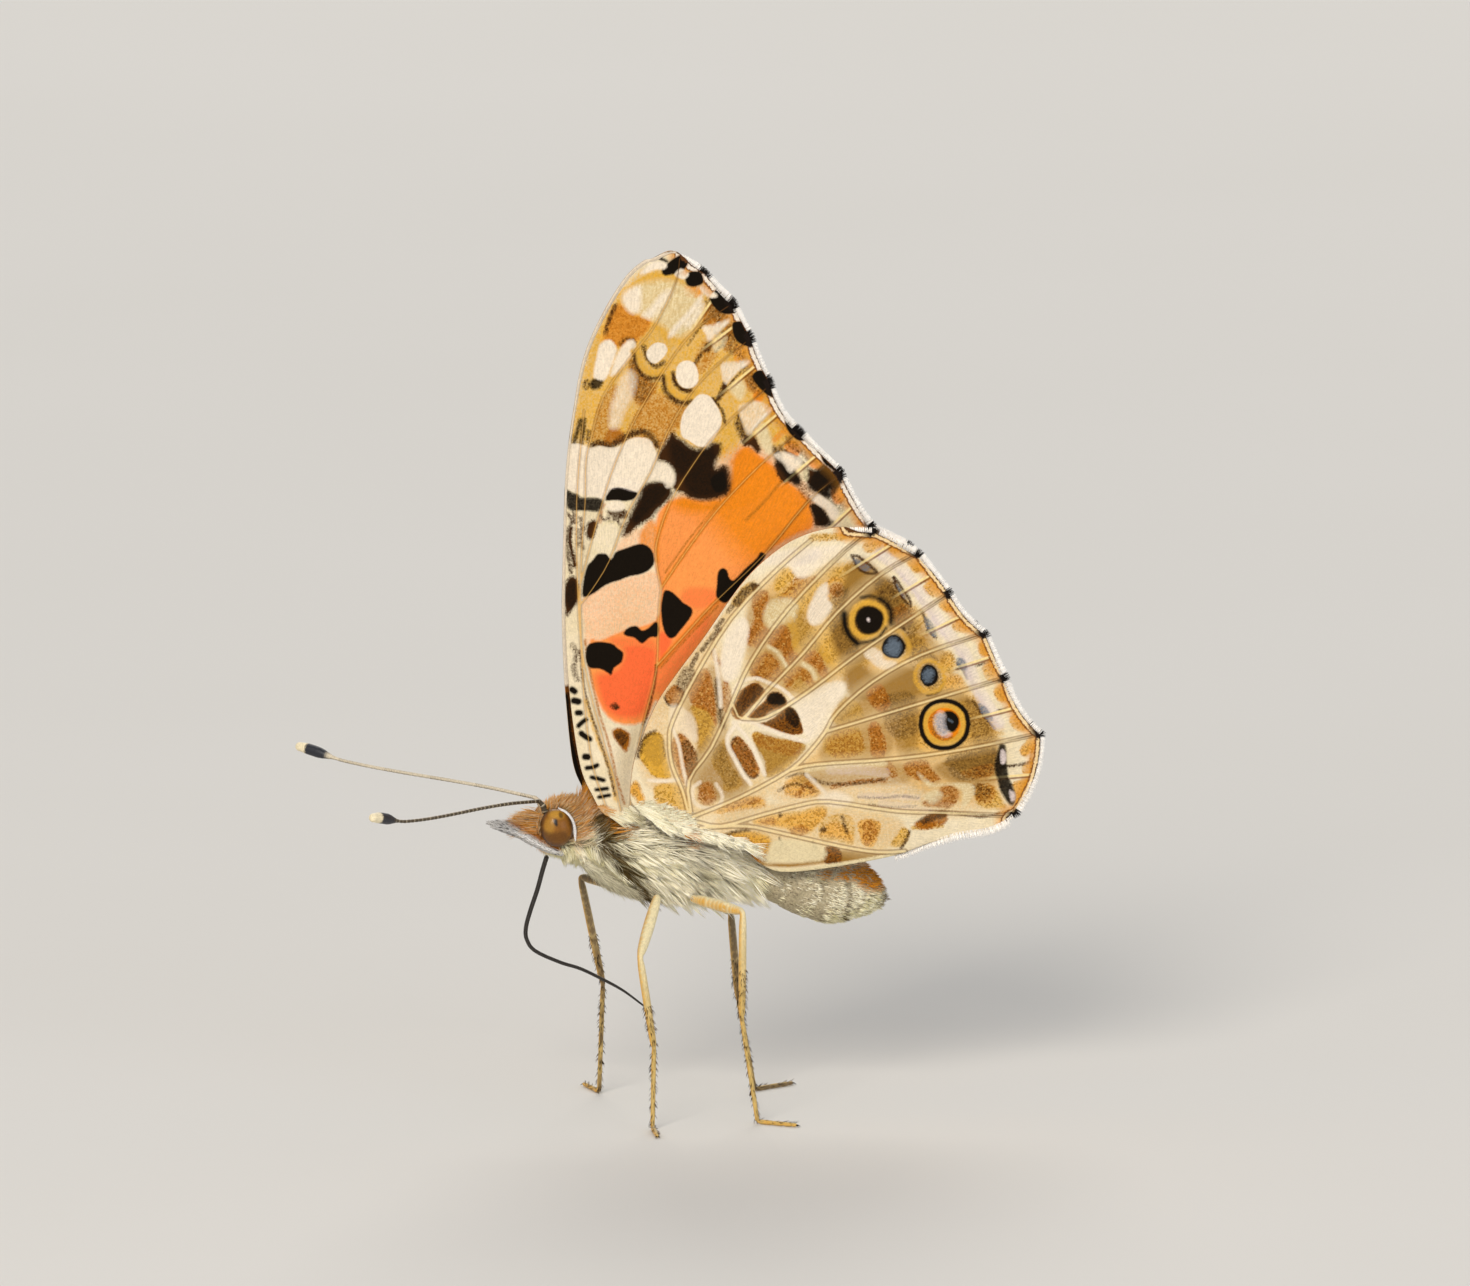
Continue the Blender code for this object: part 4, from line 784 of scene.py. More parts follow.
def unit(vectors):
    return vectors / np.maximum(np.linalg.norm(vectors, axis=-1, keepdims=True), 1e-9)


def smoothstep(low, high, value):
    t = np.clip((value - low) / (high - low), 0, 1)
    return t * t * (3 - 2 * t)


def off_path(points, path):
    """How far each flat point is from a chain of straight spans."""
    nearest = np.full(len(points), np.inf)
    for start, span in zip(path[:-1], np.diff(path, axis=0)):
        share = np.clip(((points - start) @ span) / max(span @ span, 1e-12), 0, 1)
        nearest = np.minimum(nearest, np.linalg.norm(points - start - share[:, None] * span, axis=1))
    return nearest


def within(points, outline):
    """Which flat points lie inside an outline."""
    inside = np.zeros(len(points), bool)
    for (ax, ay), (bx, by) in zip(outline, np.roll(outline, -1, 0)):
        if ay != by:
            crosses = (ay > points[:, 1]) != (by > points[:, 1])
            inside ^= crosses & (points[:, 0] < ax + (points[:, 1] - ay) / (by - ay) * (bx - ax))
    return inside


# Pattern


def read_marks(text):
    """The marks of a pattern, with their points in millimetres."""
    marks = []
    for mark in text.split(";")[:-1]:
        *brush, points = mark.split(":")
        if brush:
            ink, *numbers = brush[0].split()
            strength, soft, width = map(float, numbers)
        path = np.array([p.split(",") for p in points.split()], float) * TRACE
        marks.append((ink, strength, soft, width, path))
    return marks


def paint(points, marks):
    """How strongly each ink lies at each point: below 0.5 bare, above covered, and rising with depth."""
    layers = {ink: np.full(len(points), -1.0) for ink in INKS}
    for ink, strength, soft, width, path in marks:
        path = smooth_path(path, 3, closed=not width)
        reach = width + 3 * soft
        close = np.all((points > path.min(0) - reach) & (points < path.max(0) + reach), axis=1)
        near = points[close]
        if not len(near):
            continue
        if width:
            depth = width - off_path(near, path)
        else:
            depth = off_path(near, np.concatenate((path, path[:1])))
            depth = np.where(within(near, path), depth, -depth)
        cover = np.clip(0.5 + depth / (2 * soft), -1, 2)
        if strength < 1:
            cover = np.minimum(cover, strength)
        layers[ink][close] = np.maximum(layers[ink][close], cover)
    return np.stack([layers[ink] for ink in INKS], -1)


def ink_layers(fields):
    """The inks and what follows them, three to a layer."""
    return {f"inks_{k}": fields[:, 3 * k : 3 * k + 3] for k in range(INK_LAYERS)}


# Finishes


def tint(*steps):
    """A colour given in 0 to 255 steps as a screen shows it, in linear light."""
    return tuple(c / 12.92 / 255 if c < 11 else ((c / 255 + 0.055) / 1.055) ** 2.4 for c in steps)


class Term:
    """An output of a node. Sums written with it add their Math nodes."""

    def __init__(self, finish, socket):
        self.finish, self.socket = finish, socket

    def sum(self, operation, *others, clamp=False):
        settings = {"operation": operation, "use_clamp": clamp}
        return self.finish.node("ShaderNodeMath", settings, dict(enumerate((self, *others))))

    def __add__(self, other):
        return self.sum("ADD", other)

    def __sub__(self, other):
        return self.sum("SUBTRACT", other)

    def __rsub__(self, other):
        return self.finish.node("ShaderNodeMath", {"operation": "SUBTRACT"}, {0: other, 1: self})

    def __mul__(self, other):
        return self.sum("MULTIPLY", other)

    def __truediv__(self, other):
        return self.sum("DIVIDE", other)

    __radd__, __rmul__ = __add__, __mul__

    def clipped(self):
        return self.sum("ADD", 0.0, clamp=True)

    def ramp(self, low, high):
        """0 where this is at low, 1 where it is at high."""
        return ((self - low) / (high - low)).clipped()


class Finish:
    """A material of this butterfly, with what is the same all over set on its shader."""

    def __init__(self, name, **constants):
        self.material = bpy.data.materials.new(name)
        self.material.use_nodes = True
        self.tree = self.material.node_tree
        self.shader = self.tree.nodes["Principled BSDF"]
        for socket, value in constants.items():
            self.feed(self.shader.inputs[socket.replace("_", " ")], value)
        self.place = self.node("ShaderNodeTexCoord", output="Object")

    def feed(self, socket, value):
        if isinstance(value, Term):
            self.tree.links.new(value.socket, socket)
        elif isinstance(value, tuple) and socket.type == "RGBA":
            socket.default_value = (*value[:3], 1)
        else:
            socket.default_value = value

    def made(self, kind, settings=None, inputs=None):
        """A node of a kind, with its settings and the values or links of its sockets."""
        node = self.tree.nodes.new(kind)
        for setting, value in (settings or {}).items():
            setattr(node, setting, value)
        for socket, value in (inputs or {}).items():
            self.feed(node.inputs[socket], value)
        return node

    def node(self, kind, settings=None, inputs=None, output=0):
        """One output of such a node."""
        return Term(self, self.made(kind, settings, inputs).outputs[output])

    def mix(self, factor, one, other):
        """From one colour to another."""
        return self.node("ShaderNodeMix", {"data_type": "RGBA"}, {0: factor, 6: one, 7: other}, 2)

    def scaled(self, colour, factor):
        """A colour made lighter or darker by a factor."""
        return self.node("ShaderNodeVectorMath", {"operation": "SCALE"}, {0: colour, "Scale": factor})

    def parts(self, vector):
        return [Term(self, part) for part in self.made("ShaderNodeSeparateXYZ", None, {0: vector}).outputs]

    def layer(self, name):
        """The three numbers that a piece keeps at each of its points under a name."""
        return self.parts(self.node("ShaderNodeAttribute", {"attribute_name": name}, output="Vector"))

    def inks(self):
        """The field of each ink, then how far a vein is, and the distance and the turn from the root."""
        return [field for number in range(INK_LAYERS) for field in self.layer(f"inks_{number}")]

    def cells(self, size, stretch=(1, 1, 1)):
        """Small cells of a size in millimetres: two random numbers of each, and how far its middle is."""
        inputs = {"Vector": self.place, "Scale": stretch}
        place = self.node("ShaderNodeMapping", {"vector_type": "POINT"}, inputs)
        cell = self.made("ShaderNodeTexVoronoi", None, {"Vector": place, "Scale": 1 / (size * MM)})
        red, green, _ = self.parts(Term(self, cell.outputs["Color"]))
        return red, green, Term(self, cell.outputs["Distance"])

    def clouds(self, size, detail=3.0):
        """Soft noise with blotches of a size in millimetres, from 0 to 1."""
        inputs = {"Vector": self.place, "Scale": 1 / (size * MM), "Detail": detail}
        return self.node("ShaderNodeTexNoise", None, inputs, "Fac")

    def bump(self, height, depth):
        """Relief of a depth in millimetres."""
        inputs = {"Height": height, "Distance": depth * MM, "Strength": 1.0}
        self.feed(self.shader.inputs["Normal"], self.node("ShaderNodeBump", None, inputs))

    def done(self, **varying):
        for socket, value in varying.items():
            self.feed(self.shader.inputs[socket.replace("_", " ")], value)
        return self.material


def scaled_wing_finish(name, vein_tint, vein_width, rows, row_tint, patch, specks):
    """Wing scales: cream ground, the inks over it, each scale its own shade, then the veins and the margin.

    rows are the depths of the margin's pale row and of its orange cells, and patch is the half width of the
    dark vein ends. specks says how plainly single scales show in the warm cells, and how pale the scales
    beside the veins are.
    """
    finish = Finish(name, Roughness=0.85, Specular_IOR_Level=0.06)
    cell, other, off_middle = finish.cells(0.085)
    drift = finish.clouds(1.6)
    *fields, vein, reach, turn = finish.inks()
    flow = finish.node("ShaderNodeCombineXYZ", None, {0: reach * 2.2, 1: turn * 14.0})
    streak = finish.node("ShaderNodeTexNoise", None, {"Vector": flow, "Scale": 1.0, "Detail": 2.0})
    colour = finish.mix((drift * 1.4 - 0.3).clipped(), tint(226, 208, 168), tint(238, 224, 196))
    for number, (ink, field) in enumerate(zip(INKS, fields)):
        shade, ragged = INKS[ink]
        edge = (field * (1 - field) * 4).clipped() * ragged
        luck = (cell if number % 2 else other) + streak * 1.6 - 1.3
        cover = (field + edge * luck).clipped()
        colour = finish.mix(cover, colour, tint(*shade))
        if ink in SPECKED:
            speck = (cell + other * 0.5 + streak * 0.8).ramp(1.1, 1.5) * cover * specks
            fleck = (cell - other * 0.4 + streak * 0.4).ramp(0.16, -0.04) * cover * specks * 0.7
            colour = finish.mix(speck, colour, tint(92, 56, 20))
            colour = finish.mix(fleck, colour, tint(238, 196, 112))

    inks = dict(zip(INKS, fields))
    bare = 1 - (inks["black"] - 0.1).clipped()
    depth, to_end, off_fold = finish.layer("margin")
    row, cells = rows
    rough = (other - 0.5) * 0.06 + (streak - 0.5) * 0.1
    # Painted light on the margin's folds: the pale line along each fold is a painted highlight, and the
    # brown line to one side of it is painted shade.
    fold = 1 - (off_fold.sum("ABSOLUTE") / 0.08 + rough).ramp(0.5, 1.1)
    beside = 1 - ((off_fold - 0.12).sum("ABSOLUTE") / 0.06).ramp(0.4, 1.2)
    outer = (1 - depth.ramp(cells * 1.5, cells * 3.6)) * bare
    glow = (1 - vein.ramp(0.12, 0.6)) * bare * (1 - inks["umber"].clipped())
    near_vein = (1.25 - vein / vein_width).clipped()
    shadow = (1 - ((vein - vein_width * 1.8).sum("ABSOLUTE") / 0.05).ramp(0.3, 1.3)) * bare
    jagged = vein + (cell - 0.5) * 0.08 + rough
    rim = depth + rough
    dark_end = (1 - jagged.ramp(patch - 0.03, patch + 0.05)) * (1 - rim.ramp(row, row * 1.4))
    dark_end = dark_end * (1 - to_end.ramp(patch + FRINGE, patch + FRINGE + 0.4))
    for cover, shade in (
        ((1 - rim.ramp(cells * 0.4, cells)) * bare * 0.85, (214, 142, 44)),
        (fold * outer * 0.9, (244, 218, 150)),
        (beside * outer * 0.8, (124, 72, 24)),
        (glow * (specks * 0.6 - 0.1), (242, 222, 172)),
        (near_vein * (1 - depth.ramp(0.6, 3.4)) * 0.8, (92, 60, 28)),
        (near_vein * depth.ramp(0.8, 2.4) * (0.45 + bare * 0.3), vein_tint),
        (shadow * (0.25 + specks * 0.5), (116, 74, 28)),
        ((1 - rim.ramp(row + 0.06, row + 0.12)) * bare, (120, 70, 28)),
        ((1 - rim.ramp(row - 0.02, row + 0.03)) * bare, row_tint),
        (1 - rim.ramp(0.02, 0.06), (96, 60, 32)),
        (dark_end, (30, 22, 18)),
    ):
        colour = finish.mix(cover, colour, tint(*shade))
    finish.bump(off_middle * -0.5 + cell * 0.5, 0.01)
    light = 0.88 + cell * 0.14 + drift * 0.1 + (streak - 0.5) * 0.45
    return finish.done(Base_Color=finish.scaled(colour, light))


def fur_finish(name, base, deep, orange, dark, pale):
    """Hairs: each its own shade, darker towards the root as painted shade deep in the coat, with orange,
    dark and pale ones by zone, the dark ones partly painted shade.
    """
    finish = Finish(name, Roughness=0.7, Specular_IOR_Level=0.1, Sheen_Weight=0.03, Sheen_Roughness=0.5)
    warm, darker, paler = finish.layer("tone")
    tip, luck, lock = finish.layer("strand")
    colour = finish.mix((luck * 0.4 + lock * 1.3 - 0.45).clipped(), tint(*base), tint(*deep))
    for cover, shade in ((paler, pale), (warm, orange), (darker, dark)):
        colour = finish.mix((cover * 1.6 + luck * 0.6 - 0.6).clipped(), colour, tint(*shade))
    streak = finish.clouds(0.06, 2.0)
    # Painted shade: each hair is darker towards its root, where the coat shades it.
    shade = 0.8 + (tip * 1.2).clipped() * 0.3 + luck * 0.22 + streak * 0.1
    return finish.done(Base_Color=finish.scaled(colour, shade))


def skin_finish(name, one, other, size, depth, dark=(70, 55, 38)):
    """Skin under hair or scales: mottled, with close relief."""
    finish = Finish(name, Roughness=0.7, Specular_IOR_Level=0.3)
    cell, shade, off_middle = finish.cells(size)
    blotch = finish.clouds(0.9, 4.0)
    colour = finish.mix((blotch * 2 - 0.5).clipped(), tint(*one), tint(*other))
    colour = finish.mix((cell * 1.6 - 1.05).clipped(), colour, tint(*dark))
    finish.bump(off_middle * -1.0 + shade * 0.3, depth)
    return finish.done(Base_Color=finish.scaled(colour, 0.85 + shade * 0.3))


# Shapes


def settle(name, shape, material, replaces=(), layers=None):
    """A piece from a bmesh in millimetres, standing with the rest."""
    for vertex in shape.verts:
        vertex.co = (vertex.co + Vector(ORIGIN)) * MM
    mesh = bpy.data.meshes.new(name)
    shape.to_mesh(mesh)
    shape.free()
    enter(name, mesh, material, replaces, layers)


def enter(name, mesh, material, replaces=(), layers=None):
    """A mesh as a piece on the root body, with the layers that its material reads."""
    mesh.shade_smooth()
    mesh.materials.append(material)
    for layer, values in (layers or {}).items():
        kept = mesh.attributes.new(layer, "FLOAT_VECTOR", "POINT")
        kept.data.foreach_set("vector", np.ascontiguousarray(values, np.float32).ravel())
    piece = bpy.data.objects.new(name, mesh)
    bpy.context.scene.collection.objects.link(piece)
    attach(piece, "root")
    if replaces:
        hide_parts(*replaces)


class Loft:
    """A trunk or limb drawn as rings along a path: the middle, half height and half width of each."""

    def __init__(self, places, heights, widths, egg=0.0):
        places, heights, widths = (np.asarray(a, float) for a in (places, heights, widths))
        ahead = unit(np.gradient(places, axis=0))
        angles = np.radians((90, 70, 45, 20))
        start = places[0] - ahead[0] * heights[0] * np.sin(angles)[:, None]
        end = places[-1] + ahead[-1] * heights[-1] * np.sin(angles[::-1])[:, None]
        self.places = np.concatenate((start, places, end))
        closing, opening = np.cos(angles), np.cos(angles[::-1])
        self.heights = np.concatenate((heights[0] * closing, heights, heights[-1] * opening))
        self.widths = np.concatenate((widths[0] * closing, widths, widths[-1] * opening))
        self.ahead = np.concatenate((np.repeat(ahead[:1], 4, 0), ahead, np.repeat(ahead[-1:], 4, 0)))
        across = np.array((0, 1, 0)) if np.abs(self.ahead[:, 1]).max() < 0.97 else np.array((1, 0, 0))
        self.side = unit(across - self.ahead * (self.ahead @ across)[:, None])
        self.up = np.cross(self.ahead, self.side)
        if self.up[:, 2].mean() < 0:
            self.up = -self.up
        self.egg = egg

    def between(self, values, share):
        """What is kept for each ring, at shares of the rings."""
        index, ring = share * (len(values) - 1), np.arange(len(values))
        if values.ndim == 1:
            return np.interp(index, ring, values)
        return np.stack([np.interp(index, ring, values[:, k]) for k in range(3)], -1)

    def at(self, share, angle):
        """The places on its skin at shares of its rings and at angles round them."""
        rise = np.sin(angle)
        wide = self.between(self.widths, share) * np.cos(angle) * (1 - self.egg * np.maximum(0, rise))
        high = self.between(self.heights, share) * rise
        middle, side, up = (self.between(values, share) for values in (self.places, self.side, self.up))
        return middle + side * wide[:, None] + up * high[:, None]

    def nearest(self, places):
        """The ring nearest to each place, and the way out from its middle."""
        ring = np.array([np.argmin(np.sum((self.places - p) ** 2, axis=1)) for p in places])
        return ring, unit(places - self.places[ring])

    def skin(self, rings, sides):
        """A closed bmesh of its skin."""
        shape = bmesh.new()
        bmesh.ops.create_grid(shape, x_segments=rings, y_segments=sides, size=0.5)
        grid = np.array([v.co for v in shape.verts])
        places = self.at(grid[:, 0] + 0.5, (grid[:, 1] + 0.5) * 2 * math.pi)
        for vertex, place in zip(shape.verts, places):
            vertex.co = place
        bmesh.ops.remove_doubles(shape, verts=shape.verts, dist=1e-5)
        bmesh.ops.dissolve_degenerate(shape, edges=shape.edges, dist=1e-6)
        bmesh.ops.recalc_face_normals(shape, faces=shape.faces)
        return shape

    def scatter(self, count, rng, low=0.0, high=1.0):
        """Random roots spread evenly over its skin: places, normals, shares and angles."""
        rings, sides = 200, 59
        turns = np.linspace(0, 2 * math.pi, sides + 1)[:-1]
        shares, angles = np.meshgrid(np.linspace(low, high, rings), turns)
        shares, angles = shares.ravel(), angles.ravel()
        step = 1e-3
        here = self.at(shares, angles)
        area = np.cross(self.at(shares + step, angles) - here, self.at(shares, angles + step) - here)
        weight = np.linalg.norm(area, axis=1) + 1e-15
        chosen = rng.choice(len(shares), count, p=weight / weight.sum())
        share = np.clip(shares[chosen] + rng.uniform(-0.5, 0.5, count) * (high - low) / rings, low, high)
        angle = angles[chosen] + rng.uniform(-0.5, 0.5, count) * 2 * math.pi / sides
        place = self.at(share, angle)
        middle = self.at(share, angle + math.pi)
        normal = unit(np.cross(self.at(share + step, angle) - place, self.at(share, angle + step) - place))
        inward = np.sum(normal * (place - middle), axis=1) < 0
        normal[inward] *= -1
        return place, normal, share, angle


def strand_template(sides, cuts, tip=0.0):
    """One straight hair a unit long and a unit thick at its root, and tip thick at its end."""
    shape = bmesh.new()
    bmesh.ops.create_cone(
        shape, cap_ends=True, cap_tris=True, segments=sides, radius1=1, radius2=tip, depth=1,
        matrix=Matrix.Translation((0, 0, 0.5)),
    )
    for cut in cuts:
        geometry = [*shape.verts, *shape.edges, *shape.faces]
        bmesh.ops.bisect_plane(shape, geom=geometry, dist=1e-6, plane_co=(0, 0, cut), plane_no=(0, 0, 1))
    bmesh.ops.triangulate(shape, faces=shape.faces)
    shape.verts.ensure_lookup_table()
    places = np.array([v.co for v in shape.verts])
    faces = np.array([[v.index for v in f.verts] for f in shape.faces])
    shape.free()
    around = places[:, :2] / np.maximum(np.linalg.norm(places[:, :2], axis=1, keepdims=True), 1e-9)
    thickness = 1 - (1 - tip) * places[:, 2:] ** 2
    return around * thickness, places[:, 2], faces


HAIR = strand_template(3, (0.4, 0.75))
SPINE = strand_template(4, (0.5,))
VANE = strand_template(4, (0.6,), 0.45)
HAIR_PATCH = 0.0015


def coat(
    name, material, root, direction, bend, length, thick, tone, unwrap,
    template=HAIR, flatness=1.0, lock=0,
):
    """Hairs as solid strands, each rooted at its place and bent towards bend, in one piece."""
    flat, rise, faces = template
    count, corners = len(root), len(rise)
    direction = unit(direction)
    side = unit(np.cross(direction, bend + (1e-4, 2e-4, 3e-4)))
    other = np.cross(side, direction)
    length, thick = np.broadcast_to(length, count), np.broadcast_to(thick, count)
    rise_all = rise[None, :, None]
    curve = direction[:, None] * rise_all + bend[:, None] * rise_all**2
    spine = root[:, None] + length[:, None, None] * curve
    spread = side[:, None] * flat[None, :, :1] + other[:, None] * flat[None, :, 1:] * flatness
    places = (spine + spread * thick[:, None, None]).reshape(-1, 3)
    triangles = (faces[None] + (np.arange(count) * corners)[:, None, None]).reshape(-1, 3)
    mesh = bpy.data.meshes.new(name)
    mesh.from_pydata((places + ORIGIN) * MM, [], triangles)
    patch = mesh.uv_layers.new(name="OFBake")
    spots = unwrap[:, None] + HAIR_PATCH * np.stack((flat[:, 0], rise * 2 - 1), -1)[None]
    spots = spots.reshape(-1, 2)[triangles.ravel()]
    patch.data.foreach_set("uv", np.ascontiguousarray(spots, np.float32).ravel())
    luck = np.random.default_rng(len(root)).uniform(0, 1, (count, 1))
    lock = np.broadcast_to(lock, count)[:, None]
    strand = np.stack(np.broadcast_arrays(rise[None], luck, lock), -1)
    tones = np.broadcast_to(tone[:, None], (count, corners, 3))
    layers = {"tone": tones.reshape(-1, 3), "strand": strand.reshape(-1, 3)}
    enter(name, mesh, material, layers=layers)


# Wings


def wing_edge(costa, vein_ends, scallops, inner):
    """The edge of a wing as even points, and at each the share of the fringe's full length."""
    front = smooth_path([*costa, vein_ends[0]], 6)
    margin = [front[-1:]]
    for start, end, scallop in zip(np.array(vein_ends), np.array(vein_ends[1:]), scallops):
        chord = end - start
        t = np.linspace(0, 1, 9)[1:, None]
        margin.append(start + chord * t + unit(np.array((chord[1], -chord[0]))) * scallop * 4 * t * (1 - t))
    margin = np.concatenate(margin)
    back = smooth_path([vein_ends[-1], *inner], 4)
    edge = np.concatenate((front, margin[1:], back[1:], front[:1]))
    first, last = along(edge)[[len(front) - 1, len(front) + len(margin) - 2]]
    edge = even_path(edge, SPACING)
    reach = along(edge)
    fringed = smoothstep(first - 1.8, first - 0.8, reach) * (1 - smoothstep(last - 0.3, last + 1, reach))
    return edge[:-1], fringed[:-1]


class Wing:
    """The flat plan of a wing: its membrane as triangles, with the veins and the pattern at each point."""

    def __init__(self, surface, edges, veins, marks, marks_above):
        self.surface = surface
        self.outline, self.fringed = wing_edge(*edges)
        ahead = unit(np.roll(self.outline, -1, 0) - np.roll(self.outline, 1, 0))
        self.outward = np.stack((-ahead[:, 1], ahead[:, 0]), -1)
        inset = EDGE_INSET + (FRINGE - EDGE_INSET) * self.fringed
        self.rim = self.outline - self.outward * inset[:, None]
        self.vein_ends = np.array(edges[1])
        paths = [smooth_path(path, 3) for path in veins.values()]
        self.points, self.faces = self.triangles(paths)
        off_veins = np.stack([off_path(self.points, path) for path in paths])
        self.off_vein = off_veins.min(0)
        self.ridge = VEIN_RIDGE * np.maximum(0, 1 - self.off_vein / VEIN_FOOT) ** 0.7
        pull = 1 / (off_veins + 0.2) ** 2
        turns = np.where(np.arange(len(paths)) % 2, 1, -1)
        self.pleat = PLEAT * (turns @ pull) / pull.sum(0)
        self.margin = self.margin_fields(paths)
        from_root = self.points - paths[0][0]
        turn = np.arctan2(from_root[:, 1], from_root[:, 0]) * FLOW_REACH
        self.flow = np.stack((np.linalg.norm(from_root, axis=1), turn), -1)
        self.inks = [paint(self.points, marks), paint(self.points, marks_above)]

    def triangles(self, paths):
        """Points on the rim, along the veins and between them, and the triangles that join them."""
        closed = np.concatenate((self.rim, self.rim[:1]))
        points, spans = list(self.rim), [(i, (i + 1) % len(self.rim)) for i in range(len(self.rim))]
        for path in paths:
            crest = even_path(path, SPACING)
            onward = unit(np.gradient(crest, axis=0))
            beside = np.stack((-onward[:, 1], onward[:, 0]), -1) * VEIN_FOOT
            for rail in (crest, crest + beside, crest - beside):
                kept = within(rail, self.rim) & (off_path(rail, closed) > SPACING / 2)
                for i, (point, keep) in enumerate(zip(rail, kept)):
                    if keep and i and kept[i - 1]:
                        spans.append((len(points) - 1, len(points)))
                    if keep:
                        points.append(point)
        points += list(self.filling(paths, closed))
        corners, _, faces, _, _, _ = delaunay_2d_cdt([Vector(p) for p in points], spans, [], 1, 1e-5)
        return np.array(corners), [f for f in faces if len(f) == 3]

    def filling(self, paths, closed):
        """Points in even rows, clear of the rim and of the veins."""
        low, high = self.rim.min(0), self.rim.max(0)
        columns, rows = ((high - low) / (SPACING, SPACING * ROW_RISE)).astype(int) + 1
        column, row = np.meshgrid(np.arange(columns), np.arange(rows))
        across = low[0] + (column + 0.5 * (row % 2)) * SPACING
        grid = np.stack((across, low[1] + row * SPACING * ROW_RISE), -1).reshape(-1, 2)
        grid = grid[within(grid, self.rim)]
        clear = np.minimum(off_path(grid, closed), SPACING)
        for path in paths:
            off_vein = off_path(grid, path)
            clear = np.minimum(clear, np.abs(off_vein - VEIN_FOOT) + SPACING * 0.1)
            clear = np.where(off_vein < VEIN_FOOT * 0.6, 0, clear)
        return grid[clear > SPACING * 0.45]

    def off_ends(self, points):
        """How far the nearest vein end is from each point."""
        return np.min(np.linalg.norm(points[:, None] - self.vein_ends[None], axis=2), axis=1)

    def margin_fields(self, paths):
        """At each point: its depth in the margin, how far a vein end is, and how far off a fold it is."""
        outer = self.outline[self.fringed > 0.3]
        depth = off_path(self.points, outer) - FRINGE
        to_end = self.off_ends(self.points)
        inward = []
        for end in self.vein_ends:
            path = min(paths, key=lambda p: np.linalg.norm(p[-1] - end))
            reach = along(path)
            before = path[np.argmin(np.abs(reach - reach[-1] + FOLD_LENGTH))]
            inward.append(unit(before - path[-1]))
        nearest = np.full(len(self.points), np.inf)
        off_fold = np.full(len(self.points), FAR)
        for start, end, one, other in zip(self.vein_ends, self.vein_ends[1:], inward, inward[1:]):
            middle, way = (start + end) / 2, unit(one + other)
            off = off_path(self.points, np.array((middle - way, middle + way * FOLD_LENGTH * 1.6)))
            side = (self.points - middle) @ np.array((-way[1], way[0]))
            closer = off < nearest
            nearest = np.where(closer, off, nearest)
            off_fold = np.where(closer, np.copysign(off, side), off_fold)
        return np.stack((depth, to_end, off_fold), -1)

    def sheet(self, name, sign, material, replaces):
        """The membrane with both faces and its rim, on the left or mirrored on the right."""
        shape = bmesh.new()
        row = shape.verts.layers.int.new("row")
        for i, (u, v) in enumerate(self.points):
            shape.verts.new((u, 0, v))[row] = i
        shape.verts.ensure_lookup_table()
        for corners in self.faces:
            shape.faces.new([shape.verts[i] for i in corners])
        for loose in [v for v in shape.verts if not v.link_faces]:
            shape.verts.remove(loose)
        first = len(shape.verts)
        bmesh.ops.extrude_face_region(shape, geom=list(shape.faces), use_keep_orig=True)
        rows = np.array([v[row] for v in shape.verts])
        face = np.where(np.arange(len(rows)) < first, 1, -1)
        places = seen(*self.points[rows].T, -(self.surface(*self.points[rows].T) + self.pleat[rows]))
        places[:, 1] -= face * (MEMBRANE / 2 + self.ridge[rows])
        places[:, 1] *= -sign
        for vertex, place in zip(shape.verts, places):
            vertex.co = place
        bmesh.ops.recalc_face_normals(shape, faces=shape.faces)
        inks = np.where((face > 0)[:, None], self.inks[0][rows], self.inks[1][rows])
        fields = np.concatenate((inks, self.off_vein[rows][:, None], self.flow[rows]), 1)
        layers = {**ink_layers(fields), "margin": self.margin[rows]}
        settle(name, shape, material, replaces, layers)

    def fringe(self, name, sign, material, patch, hem_reach):
        """Two rows of flat vanes on the outer edge, dark at the vein ends, then a pale hem of a length."""
        rng = np.random.default_rng(11)
        there = np.flatnonzero(self.fringed > 0.25)
        hem = there[-1] + 1 + np.arange(int(hem_reach / SPACING))
        pick = np.repeat(np.concatenate((there, hem)), VANES_PER_STEP)
        hemmed = np.isin(pick, hem)
        slide = rng.uniform(0, 1, len(pick))[:, None]
        following = (pick + 1) % len(self.rim)
        root = self.rim[pick] * (1 - slide) + self.rim[following] * slide
        outward = self.outward[pick]
        row = np.arange(len(pick)) % 2
        deep = np.where(hemmed, HEM, FRINGE * self.fringed[pick])
        length = deep * (rng.uniform(0.85, 1.08, len(pick)) - row * 0.25) + VANE_ROOT
        out = self.surface(*root.T) + 0.03 - row * 0.06
        base = seen(*(root - outward * VANE_ROOT).T, -out)
        tip = seen(*(root + outward + rng.normal(0, 0.06, (len(pick), 2))).T, -out)
        base[:, 1] *= -sign
        tip[:, 1] *= -sign
        off_end = np.sqrt(np.maximum(self.off_ends(root) ** 2 - FRINGE**2, 0))
        dark = (off_end < patch + rng.normal(0, 0.03, len(pick))) & ~hemmed
        tone = np.stack((0 * dark, dark, 0.6 - 0.2 * row), -1)
        bend = np.zeros((len(pick), 3)) + (0, 0, -0.02)
        unwrap = root / 50 + 0.3
        coat(name, material, base, tip - base, bend, length, 0.05, tone, unwrap, VANE, flatness=0.25)


